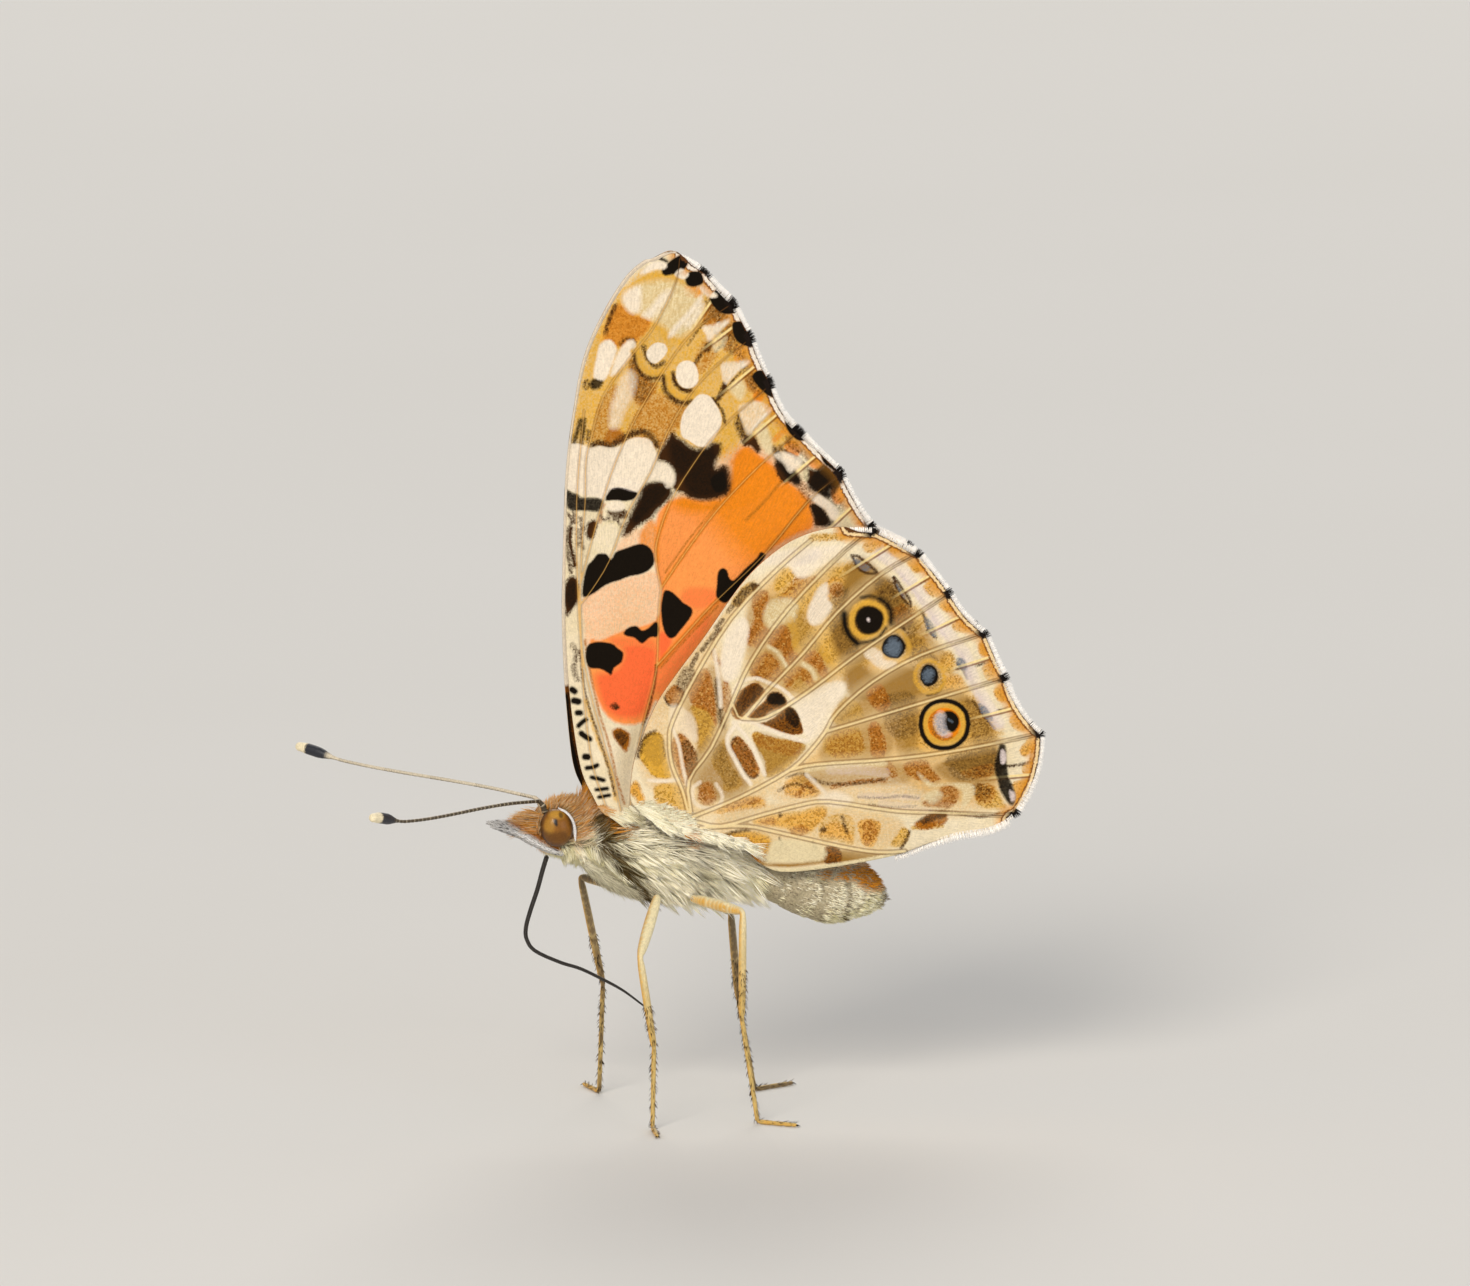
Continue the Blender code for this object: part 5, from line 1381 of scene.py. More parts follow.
def forewing_surface(u, v):
    """How far out the middle of the forewing is: wide at the root, then leaning in to its fellow."""
    return WING_MEET + WING_SPREAD * np.exp(-(np.maximum(v, ROOT_HEIGHT) - ROOT_HEIGHT) / WING_FALL)


def hindwing_surface(u, v):
    """The hindwing lies outside the forewing, and low down it bends round the abdomen."""
    above = forewing_surface(u, v) + PAIR_STEP
    low = HINDWING_BY_THORAX + (HINDWING_BY_ABDOMEN - HINDWING_BY_THORAX) * smoothstep(4, 6.5, u)
    low = low + (HINDWING_BEHIND - HINDWING_BY_ABDOMEN) * smoothstep(11.5, 18.5, u)
    softness = 0.08
    return -softness * np.log(np.exp(-above / softness) + np.exp(-low / softness))


def make_wings():
    forewing = Wing(
        forewing_surface, (FOREWING_COSTA, FOREWING_VEIN_ENDS, FOREWING_SCALLOPS, FOREWING_INNER),
        FOREWING_VEINS, read_marks(FORE_MARKS), read_marks(FORE_ABOVE_MARKS),
    )
    hindwing = Wing(
        hindwing_surface, (HINDWING_COSTA, HINDWING_VEIN_ENDS, HINDWING_SCALLOPS, HINDWING_INNER),
        HINDWING_VEINS, read_marks(HIND_MARKS), read_marks(HIND_ABOVE_MARKS),
    )
    fore_finish = scaled_wing_finish(
        "forewing scales", (224, 172, 90), 0.032, (0.24, 0.8), (240, 228, 210), FORE_PATCH, 0.16
    )
    hind_finish = scaled_wing_finish(
        "hindwing scales", (238, 214, 158), 0.06, (0.2, 0.75), (238, 208, 156), HIND_PATCH, 0.6
    )
    fringe_finish = fur_finish(
        "wing fringe", (250, 246, 238), (236, 230, 220), (200, 140, 70), (30, 24, 20), (252, 248, 242)
    )
    for side, sign in SIDES:
        forewing.sheet(f"forewing_{side}_sheet", sign, fore_finish, (f"forewing_{side}",))
        hindwing.sheet(f"hindwing_{side}_sheet", sign, hind_finish, (f"hindwing_{side}",))
        forewing.fringe(f"forewing_{side}_fringe", sign, fringe_finish, FORE_PATCH, 0)
        hindwing.fringe(f"hindwing_{side}_fringe", sign, fringe_finish, HIND_PATCH, HEM_REACH)
    return forewing, hindwing


# Body

# Rings of the trunk: u and v of the middle, half height and half width
TRUNK = [
    (-5.8, 1.3, 0.35, 0.45), (-5.2, 1.2, 0.9, 0.92), (-4.5, 1.22, 1.33, 1.05), (-3.95, 1.25, 1.42, 1.02),
    (-3.5, 1.1, 1.4, 0.9), (-3.1, 1.12, 1.6, 0.98), (-2.6, 1.17, 1.95, 1.32), (-1.8, 1.1, 2.3, 1.6),
    (-0.65, 0.88, 2.5, 1.75), (0.8, 0.62, 2.57, 1.8), (2.4, 0.3, 2.4, 1.8), (3.75, -0.05, 2.02, 1.65),
    (4.7, -0.3, 1.58, 1.35), (5.4, -0.48, 1.25, 1.18), (6.15, -0.58, 1.35, 1.32), (6.75, -0.7, 1.66, 1.54),
    (7.75, -1.05, 1.91, 1.7), (9, -1.5, 2.06, 1.77), (10.15, -1.9, 2.01, 1.75), (11.15, -2.1, 1.71, 1.55),
    (11.9, -2.35, 1.28, 1.27), (12.4, -2.55, 0.88, 0.82), (12.65, -2.7, 0.45, 0.45),
]
EGG = 0.28
RING_ENDS = (6.4, 7.9, 9.5, 10.65, 11.6, 12.3)
RING_DEPTH, RING_WIDTH = 0.045, 0.13
EYE_MIDDLE = (-4.45, 1.2, 1.05)
EYE_RADII = (0.9, 0.78, 1.03)
EYE_CLEAR = 1.04
EYE_LEAN = math.radians(-8)

# Rings of a palp and a foreleg: u, v and how far out, half height and half width. Then the tongue's path.
PALP = [
    (-4.2, -0.15, 0.78, 0.18, 0.2), (-4.9, 0.12, 0.74, 0.26, 0.24), (-5.6, 0.5, 0.62, 0.31, 0.24),
    (-6.42, 0.93, 0.54, 0.29, 0.23), (-7.2, 1.16, 0.52, 0.2, 0.19), (-7.9, 1.29, 0.5, 0.1, 0.1),
]
FORELEG = [
    (-2.9, -0.7, 0.9, 0.2, 0.2), (-2.1, -1.3, 0.95, 0.27, 0.27), (-1.2, -1.8, 1.0, 0.26, 0.26),
    (-0.2, -2.1, 1.0, 0.16, 0.16),
]
PROBOSCIS = [
    (-5, -0.4), (-5.2, -1.05), (-5.5, -2.15), (-5.85, -3.2), (-6.1, -4.15), (-6.05, -4.8), (-5.6, -5.4),
    (-4.3, -6), (-3.2, -6.35), (-2.15, -6.85), (-0.95, -7.5), (0.2, -8.35),
]
ANTENNA_ROOT = (-5.4, 2.62, 0.53)
ANTENNA_REACH = (-10.9, 10.25, 1.5)
ANTENNA_SAG = {"left": 0.55, "right": 0.38}
CLUB_FROM = 0.87
ANTENNA_RINGS = 46

# Root, knee and ankle of each leg as u, v and Y, then its heel and toe on the floor as X and Y
LEGS = {
    "midleg_left": ((0.9, -2.6, -1.5), (0, -5.7, -4.6), (0.75, -10.55, -5), (-0.4, -5.6), (-0.6, -8)),
    "midleg_right": ((0.3, -2.2, 1.5), (-3.2, -1.45, 3.6), (-2, -7.2, 4.2), (-1.2, 5.4), (-1.6, 7.6)),
    "hindleg_left": ((2.9, -2.6, -1.5), (5.5, -3.3, -4.2), (5.45, -9, -4.6), (5.45, -4.9), (7.25, -6.3)),
    "hindleg_right": ((3.6, -2.5, 1.5), (4.85, -3.35, 3.4), (5.25, -8, 3.9), (7.1, 4.4), (9.4, 5.8)),
}

# Half thickness at shares of each part of a leg
THIGH = ((0.0, 0.22), (0.2, 0.29), (0.55, 0.31), (0.86, 0.25), (0.97, 0.17))
SHIN = ((0.04, 0.16), (0.14, 0.2), (0.5, 0.21), (0.9, 0.18), (0.98, 0.13))
HEEL = ((0.03, 0.11), (0.12, 0.13), (0.9, 0.12), (0.98, 0.1))
TOES = (
    (0.06, 0.1), (0.12, 0.13), (0.36, 0.125), (0.41, 0.1), (0.46, 0.125), (0.64, 0.12), (0.69, 0.095),
    (0.74, 0.12), (0.86, 0.115), (0.9, 0.09), (0.95, 0.11), (1.0, 0.09),
)
SOLE = 0.13


def flat_unwrap(share, angle):
    """Where hairs that root at shares and angles lie in the unwrap of their piece."""
    return np.stack((0.05 + share * 0.9, 0.05 + (angle % (2 * math.pi)) / (2 * math.pi) * 0.9), -1)


def make_trunk():
    """One skin from the face to the tip of the abdomen, with a groove at the end of each ring."""
    rows = smooth_path(TRUNK, 6)
    groove = np.min(np.abs(rows[:, :1] - np.array(RING_ENDS)), axis=1)
    share = 1 - RING_DEPTH * np.exp(-((groove / RING_WIDTH) ** 2))
    trunk = Loft(seen(rows[:, 0], rows[:, 1], 0), rows[:, 2] * share, rows[:, 3] * share, EGG)
    skin = skin_finish("trunk skin", (168, 156, 124), (196, 182, 150), 0.09, 0.03)
    settle("trunk_skin", trunk.skin(320, 72), skin, ("head", "thorax", "abdomen"))
    return trunk


def hair_tone(root, normal):
    """Orange, dark and pale shares of the hairs at their roots; the dark share also holds painted shade on
    hairs that face down.
    """
    inks = dict(zip(INKS, paint(shown(root), read_marks(FUR_MARKS)).T))
    # Painted shade: hairs whose roots face down get a darker share, as if in shadow.
    below = np.clip(-normal[:, 2] - 0.6, 0, 1) * 0.3
    return np.clip(np.stack((inks["orange"], np.maximum(inks["umber"], below), inks["white"]), -1), 0, 1)


def in_eye(places):
    """Which places lie in either eye or close above it."""
    off = np.stack((places[:, 0], -np.abs(places[:, 1]), places[:, 2]), -1) - paired(*EYE_MIDDLE, -1)
    return np.linalg.norm(off / EYE_RADII, axis=1) < EYE_CLEAR


def locked(root, way, curl, length, rng, locks, pull):
    """Hairs drawn together at their tips into locks: their new bends, and a shade for each lock."""
    chosen = rng.choice(len(root), min(locks, len(root)), replace=False)
    nearest = np.concatenate([
        np.argmin(np.sum((part[:, None] - root[chosen][None]) ** 2, axis=2), axis=1)
        for part in np.array_split(root, len(root) // 2000 + 1)
    ])
    leader = chosen[nearest]
    tip = root + (way + curl) * length[:, None]
    aim = root[leader] + (way[leader] + curl[leader]) * length[leader, None]
    pulled = curl + (aim - tip) * pull / length[:, None]
    return pulled, rng.uniform(0, 1, len(root))[leader]


def make_fur(trunk, finish):
    """The coat: locks on the thorax and collar, shorter hair on the head, and close hair on the abdomen."""
    rng = np.random.default_rng(3)
    amount = 1
    reach = trunk.places[:, 0] * COS_TURN

    def share_of(u):
        return np.interp(u, reach, np.linspace(0, 1, len(reach)))

    def grow(
        name, count, span, comb, lengths, thick, lift, droop, locks, pull,
        zone=(-math.inf, math.inf), halves=False, slot="fur", paleness=0.0,
    ):
        """Hairs on a span of the trunk, at heights in a zone, combed one way and drawn into locks."""
        root, normal, share, angle = trunk.scatter(int(count * amount), rng, *share_of(np.array(span)))
        kept = ~in_eye(root) & (root[:, 2] > zone[0]) & (root[:, 2] < zone[1])
        root, normal, share, angle = (a[kept] for a in (root, normal, share, angle))
        number = len(root)
        way = unit(normal * lift + comb(root, normal) + rng.normal(0, 0.16, (number, 3)))
        short_below = np.where(root[:, 0] < -2.4, 0.6 + 0.4 * smoothstep(-0.4, 0.8, root[:, 2]), 1)
        length = rng.uniform(*lengths, number) * short_below
        curl = comb(root, normal) * 0.1 - normal * droop + rng.normal(0, 0.05, (number, 3))
        curl, lock = locked(root, way, curl, length, rng, int(locks * amount), pull)
        tone = hair_tone(root, normal)
        tone[:, 2] = np.maximum(tone[:, 2], paleness * (1 - tone[:, 0]) * (1 - tone[:, 1]) ** 2)
        unwrap = flat_unwrap(share, angle)
        whole = ((name, np.full(number, True)),)
        sides = ((f"{name}_left", root[:, 1] < 0), (f"{name}_right", root[:, 1] >= 0))
        for part, chosen in sides if halves else whole:
            coat(
                part, finish, root[chosen] - normal[chosen] * 0.05, way[chosen], curl[chosen],
                length[chosen], thick, tone[chosen], unwrap[chosen], lock=lock[chosen],
            )

    def back_and_down(root, normal):
        side = np.sign(root[:, 1:2])
        drop = 0.1 + 0.55 * smoothstep(1.6, -0.8, root[:, 2:3]) + 0.2 * np.clip(-normal[:, 2:3], 0, 1)
        return np.concatenate((np.full_like(side, 1.0), side * 0.08, -drop), 1)

    def backward(root, normal):
        return np.tile((1.0, 0.0, -0.28), (len(root), 1))

    def over_head(root, normal):
        low = root[:, 2] < 0.6
        back = np.where(low, 0.35, 0.3 + 0.35 * (root[:, 0] > -4.6))
        return np.stack((back, 0 * back, np.where(low, -0.5, 0.4)), -1)

    def forward(root, normal):
        return np.tile((-1.0, 0.0, 0.02), (len(root), 1))

    grow("thorax_fur", 9500, (-2.9, 5.7), back_and_down, (1.1, 1.9), 0.034,
         lift=0.4, droop=0.1, locks=420, pull=0.75, halves=True)
    grow("thorax_guard_hair", 2300, (-2.7, 5.8), back_and_down, (1.5, 2.5), 0.042,
         lift=0.55, droop=0.16, locks=230, pull=0.85, halves=True, paleness=0.75)
    grow("shoulder_hair", 3600, (-2.4, 5.0), back_and_down, (1.4, 2.1), 0.04,
         lift=0.95, droop=0.25, locks=260, pull=0.8, zone=(0.1, 2.3), halves=True, paleness=0.5)
    grow("abdomen_fur", 10000, (5.6, 12.8), backward, (0.3, 0.5), 0.028,
         lift=0.12, droop=0.03, locks=2500, pull=0.4, slot="abdomen")
    grow("collar_fur", 4200, (-3.75, -2.2), over_head, (0.8, 1.3), 0.03,
         lift=0.5, droop=0.08, locks=350, pull=0.6)
    grow("head_fur", 4800, (-5.6, -3.6), over_head, (0.4, 0.75), 0.026,
         lift=0.6, droop=0.05, locks=700, pull=0.4)
    grow("face_fur", 2600, (-5.9, -4.9), forward, (0.8, 1.4), 0.028,
         lift=0.2, droop=0.02, locks=160, pull=0.5, zone=(1.15, 2.2))


def make_wing_hair(finish, wings):
    """Long hair over the root edges of the wings, and short down beside the hindwing's."""
    forewing, hindwing = wings
    for side, sign in SIDES:
        rng = np.random.default_rng(21)

        def grow(name, wing, edge, reach, count, lengths, thick, lean, lift, paleness, locks, pull):
            near = wing.points[off_path(wing.points, np.array(edge)) < reach]
            u, v = (near[rng.integers(len(near), size=count)] + rng.normal(0, 0.03, (count, 2))).T
            out = wing.surface(u, v) + 0.06
            root = seen(u, v, -out)
            tip = seen(u + 1, v + lean + rng.normal(0, 0.22, count), -out - rng.uniform(0, lift, count))
            way = tip - root
            root[:, 1] *= -sign
            way[:, 1] *= -sign
            way = unit(way)
            length = rng.uniform(*lengths, count)
            inward = np.array((0.02, -sign * 0.3 * lift, -0.05))
            bend, lock = locked(root, way, np.tile(inward, (count, 1)), length, rng, locks, pull)
            tone = hair_tone(root, way * 0)
            tone[:, 2] = np.maximum(tone[:, 2], paleness)
            unwrap = np.stack((u, v), -1) / 20 + 0.3
            coat(f"{name}_{side}", finish, root, way, bend, length, thick, tone, unwrap, lock=lock)

        grow("forewing_root_hair", forewing, FOREWING_ROOT, 0.45, 420, (0.7, 1.3), 0.034,
             lean=-0.5, lift=0.4, paleness=0.4, locks=50, pull=0.75)
        grow("hindwing_root_hair", hindwing, HINDWING_ROOT, 0.35, 1100, (0.8, 1.5), 0.036,
             lean=-0.5, lift=0.4, paleness=0.4, locks=150, pull=0.8)
        grow("hindwing_root_down", hindwing, HINDWING_CREASE, 0.7, 600, (0.35, 0.6), 0.02,
             lean=0.1, lift=0.12, paleness=0.5, locks=250, pull=0.4)


def eye_finish():
    """A round compound eye: amber with a golden top, dark below, glossy, with the finest facets."""
    finish = Finish("eye", Roughness=0.4, Specular_IOR_Level=0.25, Coat_Roughness=0.1)
    cell, other, off_middle = finish.cells(0.035)
    inks = dict(zip(INKS, finish.inks()))
    colour = finish.mix(finish.clouds(0.25), tint(124, 76, 14), tint(146, 94, 22))
    for ink, shade in (("yellow", (190, 140, 48)), ("umber", (58, 32, 8)), ("black", (20, 11, 5))):
        colour = finish.mix((inks[ink] + other * 0.2 - 0.1).clipped(), colour, tint(*shade))
    finish.bump(off_middle * -1.0, 0.004)
    return finish.done(Base_Color=finish.scaled(colour, 0.88 + cell * 0.24), Coat_Weight=0.12 + cell * 0.1)


def make_eyes(pale):
    finish = eye_finish()
    for side, sign in SIDES:
        shape = bmesh.new()
        bmesh.ops.create_icosphere(shape, subdivisions=6, radius=1)
        middle = Vector(paired(*EYE_MIDDLE, sign))
        lean = Matrix.Rotation(EYE_LEAN, 3, "Y")
        for vertex in shape.verts:
            vertex.co = lean @ Vector([c * r for c, r in zip(vertex.co, EYE_RADII)]) + middle
        places = np.array([v.co for v in shape.verts])
        inks = paint(shown(places), read_marks(EYE_MARKS))
        layers = ink_layers(np.pad(inks, ((0, 0), (0, 3))))
        settle(f"eye_{side}_facets", shape, finish, (f"eye_{side}",), layers)
        path = smooth_path([(-4.35, 2.25), (-3.98, 2.0), (-3.68, 1.6), (-3.5, 1.1), (-3.45, 0.5)], 6)
        wide = np.sin(np.linspace(0.25, math.pi - 0.25, len(path)))
        rim = Loft(paired(path[:, 0], path[:, 1], 1.24, sign), 0.14 * wide, 0.1 * wide)
        settle(f"eye_{side}_rim", rim.skin(60, 12), pale)


def antenna_finish():
    """Dark shaft with pale rings, paler on its inner side, and a blue-black club with a cream tip."""
    finish = Finish("antenna", Roughness=0.45, Specular_IOR_Level=0.4)
    share, inner, _ = finish.layer("tone")
    ring = (share * ANTENNA_RINGS).sum("FRACT")
    cell, other, off_middle = finish.cells(0.05)
    colour = finish.mix((inner * 1.3 - 0.25 + other * 0.3).clipped(), tint(72, 60, 42), tint(214, 202, 178))
    colour = finish.mix(ring.ramp(0.72, 0.9) * (0.75 - inner * 0.2), colour, tint(200, 188, 160))
    colour = finish.mix(share.ramp(0.868, 0.885), colour, tint(38, 40, 48))
    colour = finish.mix((share + other * 0.008).ramp(0.955, 0.962), colour, tint(240, 226, 190))
    finish.bump(ring * 0.6 + off_middle * -0.5, 0.02)
    return finish.done(Base_Color=finish.scaled(colour, 0.85 + cell * 0.3))


def make_antennae():
    finish = antenna_finish()
    for side, sign in SIDES:
        t = np.linspace(0, 1, 150)
        root = paired(*ANTENNA_ROOT, sign)
        sag = ANTENNA_SAG[side] * (smoothstep(0.1, 0.8, t) - 0.6 * smoothstep(0.8, 1, t))
        path = root + t[:, None] * np.array(ANTENNA_REACH) * (1, sign, 1)
        path[:, 2] -= sag
        neck = paired(-5.05, 1.95, 0.45, sign)
        bend = (neck + path[0]) / 2 + (0.06, 0, 0.06)
        path = np.concatenate((smooth_path([neck, bend, path[0]], 8)[:-1], path))
        reach = along(path) / along(path)[-1]
        thick = 0.1 - 0.015 * reach + 0.075 * np.exp(-((reach - 0.015) / 0.025) ** 2)
        club = smoothstep(CLUB_FROM - 0.02, 0.93, reach)
        thick = thick + (0.3 - thick) * club * (1 - 0.25 * smoothstep(0.965, 1, reach))
        thick = thick * (1 - 0.07 * np.cos(reach * ANTENNA_RINGS * 2 * math.pi) * (1 - club))
        loft = Loft(path, thick, thick)
        shape = loft.skin(340, 16)
        ring, off = loft.nearest(np.array([v.co for v in shape.verts]))
        inner = np.clip(-sign * off[:, 1] * 0.9 + off[:, 2] * 0.35 + 0.15, 0, 1)
        reach = along(loft.places)
        layers = {"tone": np.stack((reach[ring] / reach[-1], inner, 0 * inner), -1)}
        settle(f"antenna_{side}_shaft", shape, finish, (f"antenna_{side}",), layers)


def make_mouthparts():
    """Two scaly lip feelers and the black proboscis between them."""
    skin = skin_finish("feeler skin", (176, 172, 166), (214, 212, 208), 0.07, 0.03, (60, 58, 56))
    scales = fur_finish(
        "feeler scales", (206, 204, 202), (150, 148, 146), (186, 118, 50), (58, 56, 54), (246, 245, 244)
    )
    for side, sign in SIDES:
        rows = smooth_path(PALP, 8)
        palp = Loft(paired(*rows[:, :3].T, sign), rows[:, 3], rows[:, 4])
        settle(f"palp_{side}_skin", palp.skin(90, 24), skin, (f"palp_{side}",))
        rng = np.random.default_rng(5)
        root, normal, share, angle = palp.scatter(2600, rng, 0.02, 0.95)
        forward = unit(palp.between(palp.ahead, share))
        over = np.clip(normal[:, 2], 0, 1)
        behind = 1 - smoothstep(0.45, 0.8, share)
        way = forward + normal * (0.16 + 0.3 * over * behind)[:, None] + rng.normal(0, 0.08, root.shape)
        length = rng.uniform(0.22, 0.4, len(root)) * (1 + 1.1 * over * behind)
        length *= 1 - 0.6 * smoothstep(0.7, 0.95, share)
        warm = np.clip(over * 2 * behind - 0.3, 0, 1)
        stripe = np.clip(1 - np.abs(normal[:, 2] + 0.15) / 0.5, 0, 1) * behind
        speck = np.sin(share * 97) * np.sin(angle * 5 + share * 31) > 0.5 - 0.2 * (1 - behind)
        # Painted shade: scales on the underside of the palp, facing down, are darker.
        below = np.clip(-normal[:, 2] - 0.3, 0, 1)
        dark = np.maximum(speck * (1 - stripe), below * 0.7)
        tone = np.stack((warm, dark * (1 - warm), stripe), -1)
        coat(
            f"palp_{side}_scales", scales, root - normal * 0.03, way, -normal * 0.02, length, 0.022,
            tone, flat_unwrap(share, angle), flatness=0.5,
        )
    rows = smooth_path(PROBOSCIS, 10)
    thick = np.interp(np.linspace(0, 1, len(rows)), (0, 0.3, 0.85, 1), (0.13, 0.12, 0.085, 0.05))
    tongue = Loft(seen(rows[:, 0], rows[:, 1], 0), thick, thick)
    horn = Finish("proboscis horn", Roughness=0.35, Specular_IOR_Level=0.5)
    cell, _, off_middle = horn.cells(0.06, (1, 1, 2.5))
    horn.bump(off_middle * -1.0, 0.02)
    shade = horn.mix(cell, tint(20, 15, 9), tint(38, 28, 16))
    settle("proboscis_horn", tongue.skin(200, 14), horn.done(Base_Color=shade), ("proboscis",))


def leg_finish():
    """Cream scales outside, orange in front, painted shade in brown on the inner side that faces the body,
    tan on the shin and foot.
    """
    finish = Finish("leg scales", Roughness=0.5, Specular_IOR_Level=0.4, Sheen_Weight=0.2)
    front, inner, share = finish.layer("tone")
    cell, other, off_middle = finish.cells(0.06, (1, 1, 0.45))
    colour = finish.mix(share.ramp(0.2, 0.45), tint(242, 228, 182), tint(206, 174, 100))
    colour = finish.mix((front * 1.5 - 0.5 + other * 0.3).clipped(), colour, tint(222, 168, 62))
    # Painted shade: the inner side of each leg, facing the body, is brown.
    colour = finish.mix((inner * 1.5 - 0.35 + cell * 0.3).clipped() * 0.85, colour, tint(88, 64, 38))
    finish.bump(off_middle * -1.0 + cell * 0.4, 0.02)
    return finish.done(Base_Color=finish.scaled(colour, 0.84 + other * 0.26))


def make_legs():
    scales = leg_finish()
    bristle = fur_finish(
        "bristles", (96, 72, 42), (60, 44, 26), (150, 100, 40), (34, 26, 18), (214, 190, 140)
    )
    for name, (root, knee, ankle, heel, toe) in LEGS.items():
        sign = -1 if name.endswith("left") else 1
        floor = SOLE - STANCE
        bones = [seen(*root), seen(*knee), seen(*ankle), np.array((*heel, floor)), np.array((*toe, floor))]
        stops = []
        for number, (start, end, plan) in enumerate(zip(bones, bones[1:], (THIGH, SHIN, HEEL, TOES))):
            stops += [(*(start + (end - start) * t), radius, number + t) for t, radius in plan]
        rows = smooth_path(stops, 4)
        leg = Loft(rows[:, :3], rows[:, 3], rows[:, 3])
        shape = leg.skin(240, 18)
        for vertex in shape.verts:
            vertex.co.z = max(vertex.co.z, -STANCE)
        ring, off = leg.nearest(np.array([v.co for v in shape.verts]))
        joint = np.pad(rows[:, 4], 4, mode="edge")[ring]
        # The second share marks the inner side of the leg, for the painted shade there.
        tone = np.stack((np.clip(-off[:, 0], 0, 1), np.clip(-sign * off[:, 1], 0, 1), joint / 4), -1)
        settle(f"{name}_scales", shape, scales, (name,), {"tone": tone})
        rng = np.random.default_rng(8)
        spine, normal, share, angle = leg.scatter(260, rng, 0.3, 0.98)
        onward = leg.between(leg.ahead, share)
        way = normal * 0.75 + onward + rng.normal(0, 0.1, normal.shape)
        keep = spine[:, 2] > 0.12 - STANCE
        number = keep.sum()
        # Painted shade: bristles on the inner side of the leg are dark.
        dark = np.where(normal[keep, 1] * sign < 0, 1.0, 0.2)
        tips = np.repeat(rows[-1:, :3], 2, 0)
        ahead = unit(rows[-1, :3] - rows[-6, :3])
        apart = np.cross(ahead, (0, 0, 1))
        claws = np.stack((ahead + apart * 0.55 + (0, 0, 0.25), ahead - apart * 0.55 + (0, 0, 0.25)))
        coat(
            f"{name}_bristles", bristle,
            np.concatenate((spine[keep], tips)), np.concatenate((way[keep], claws)),
            np.concatenate((onward[keep] * 0.15, np.array([[0, 0, -0.55]] * 2))),
            np.concatenate((rng.uniform(0.14, 0.3, number), (0.3, 0.3))),
            np.concatenate((np.full(number, 0.016), (0.045, 0.045))),
            np.concatenate((np.stack((0 * dark, dark, 0 * dark), -1), [(0, 1, 0)] * 2)),
            flat_unwrap(np.append(share[keep], (0.99, 0.99)), np.append(angle[keep], (1, 2))), SPINE,
        )


def make_forelegs(fur):
    skin = skin_finish("foreleg skin", (172, 162, 128), (190, 178, 144), 0.07, 0.02)
    for side, sign in SIDES:
        rows = smooth_path(FORELEG, 8)
        limb = Loft(paired(*rows[:, :3].T, sign), rows[:, 3], rows[:, 4])
        settle(f"foreleg_{side}_skin", limb.skin(60, 18), skin, (f"foreleg_{side}",))
        rng = np.random.default_rng(9)
        root, normal, share, angle = limb.scatter(2000, rng, 0.02, 0.97)
        way = normal * 0.3 + (0.75, 0, -0.5) + rng.normal(0, 0.12, root.shape)
        tone = hair_tone(root, normal)
        length = rng.uniform(0.5, 0.9, len(root))
        unwrap = flat_unwrap(share, angle)
        coat(f"foreleg_{side}_fur", fur, root, way, -normal * 0.03, length, 0.02, tone, unwrap)


# Stage


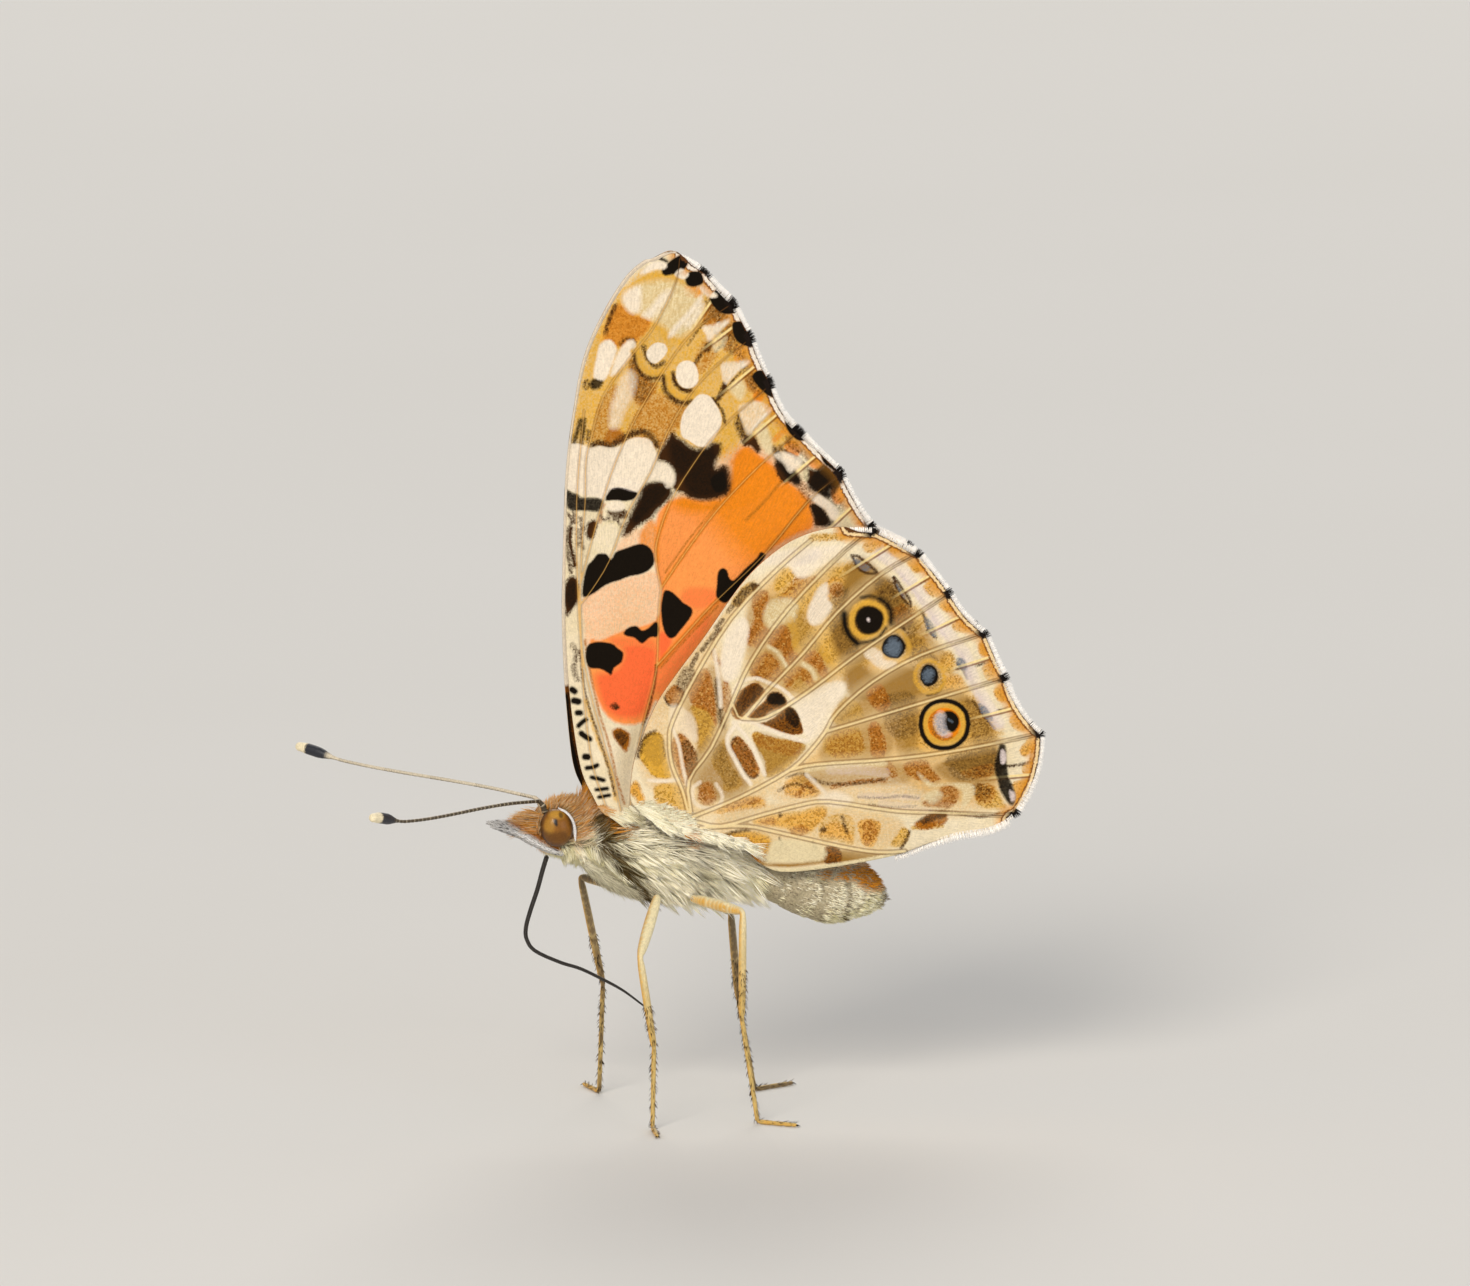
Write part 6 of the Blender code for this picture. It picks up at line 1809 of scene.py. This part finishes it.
def make_stage():
    scene = bpy.context.scene
    for name in ("Cube", "Light", "Camera"):
        if name in bpy.data.objects:
            bpy.data.objects.remove(bpy.data.objects[name])
    lens = bpy.data.cameras.new("camera")
    lens.sensor_width = 36
    lens.lens = LENS_PER_METRE * CAMERA_AWAY
    lens.clip_start = 0.01
    camera = bpy.data.objects.new("camera", lens)
    turn, drop = -VIEW_TURN, VIEW_DROP
    back = Vector((math.sin(turn) * math.cos(drop), -math.cos(turn) * math.cos(drop), math.sin(drop)))
    right = Vector((math.cos(turn), math.sin(turn), 0))
    up = back.cross(right)
    aim = (Vector(ORIGIN) + right * AIM_RIGHT + up * AIM_UP) * MM
    camera.location = aim + back * CAMERA_AWAY
    camera.rotation_euler = back.to_track_quat("Z", "Y").to_euler()
    scene.collection.objects.link(camera)
    scene.camera = camera

    shape = bmesh.new()
    bmesh.ops.create_grid(shape, x_segments=2, y_segments=2, size=4)
    mesh = bpy.data.meshes.new("floor")
    shape.to_mesh(mesh)
    shape.free()
    plain = Finish("pale floor", Roughness=0.8, Specular_IOR_Level=0.2)
    mist = plain.clouds(60, 2.0)
    mesh.materials.append(plain.done(Base_Color=plain.mix(mist, tint(222, 220, 215), tint(226, 224, 220))))
    floor = bpy.data.objects.new("floor", mesh)
    scene.collection.objects.link(floor)

    world = bpy.data.worlds.new("studio")
    world.use_nodes = True
    world.node_tree.nodes["Background"].inputs["Color"].default_value = (*tint(236, 238, 242), 1)
    world.node_tree.nodes["Background"].inputs["Strength"].default_value = 0.45
    scene.world = world
    for name, place, size, power, colour in (
        ("key", (-0.4, -0.78, 0.58), 0.4, 7.0, (255, 247, 236)),
        ("fill", (0.6, -0.75, 0.16), 0.6, 2.0, (238, 243, 255)),
        ("rim", (0.2, 0.8, 0.6), 0.5, 3.2, (255, 250, 242)),
    ):
        lamp = bpy.data.lights.new(name, "AREA")
        lamp.size = size
        lamp.energy = power
        lamp.color = tint(*colour)
        light = bpy.data.objects.new(name, lamp)
        light.location = place
        light.rotation_euler = (Vector(place) - Vector((0, 0, 0.02))).to_track_quat("Z", "Y").to_euler()
        scene.collection.objects.link(light)
    scene.view_settings.view_transform = "Standard"


make_stage()
wings = make_wings()
trunk = make_trunk()
fur = fur_finish("body fur", (248, 242, 212), (212, 204, 160), (204, 136, 36), (92, 74, 38), (252, 246, 224))
pale = skin_finish("pale scales", (240, 238, 236), (226, 222, 218), 0.05, 0.02, (190, 186, 180))
make_fur(trunk, fur)
make_wing_hair(fur, wings)
make_eyes(pale)
make_antennae()
make_mouthparts()
make_legs()
make_forelegs(fur)
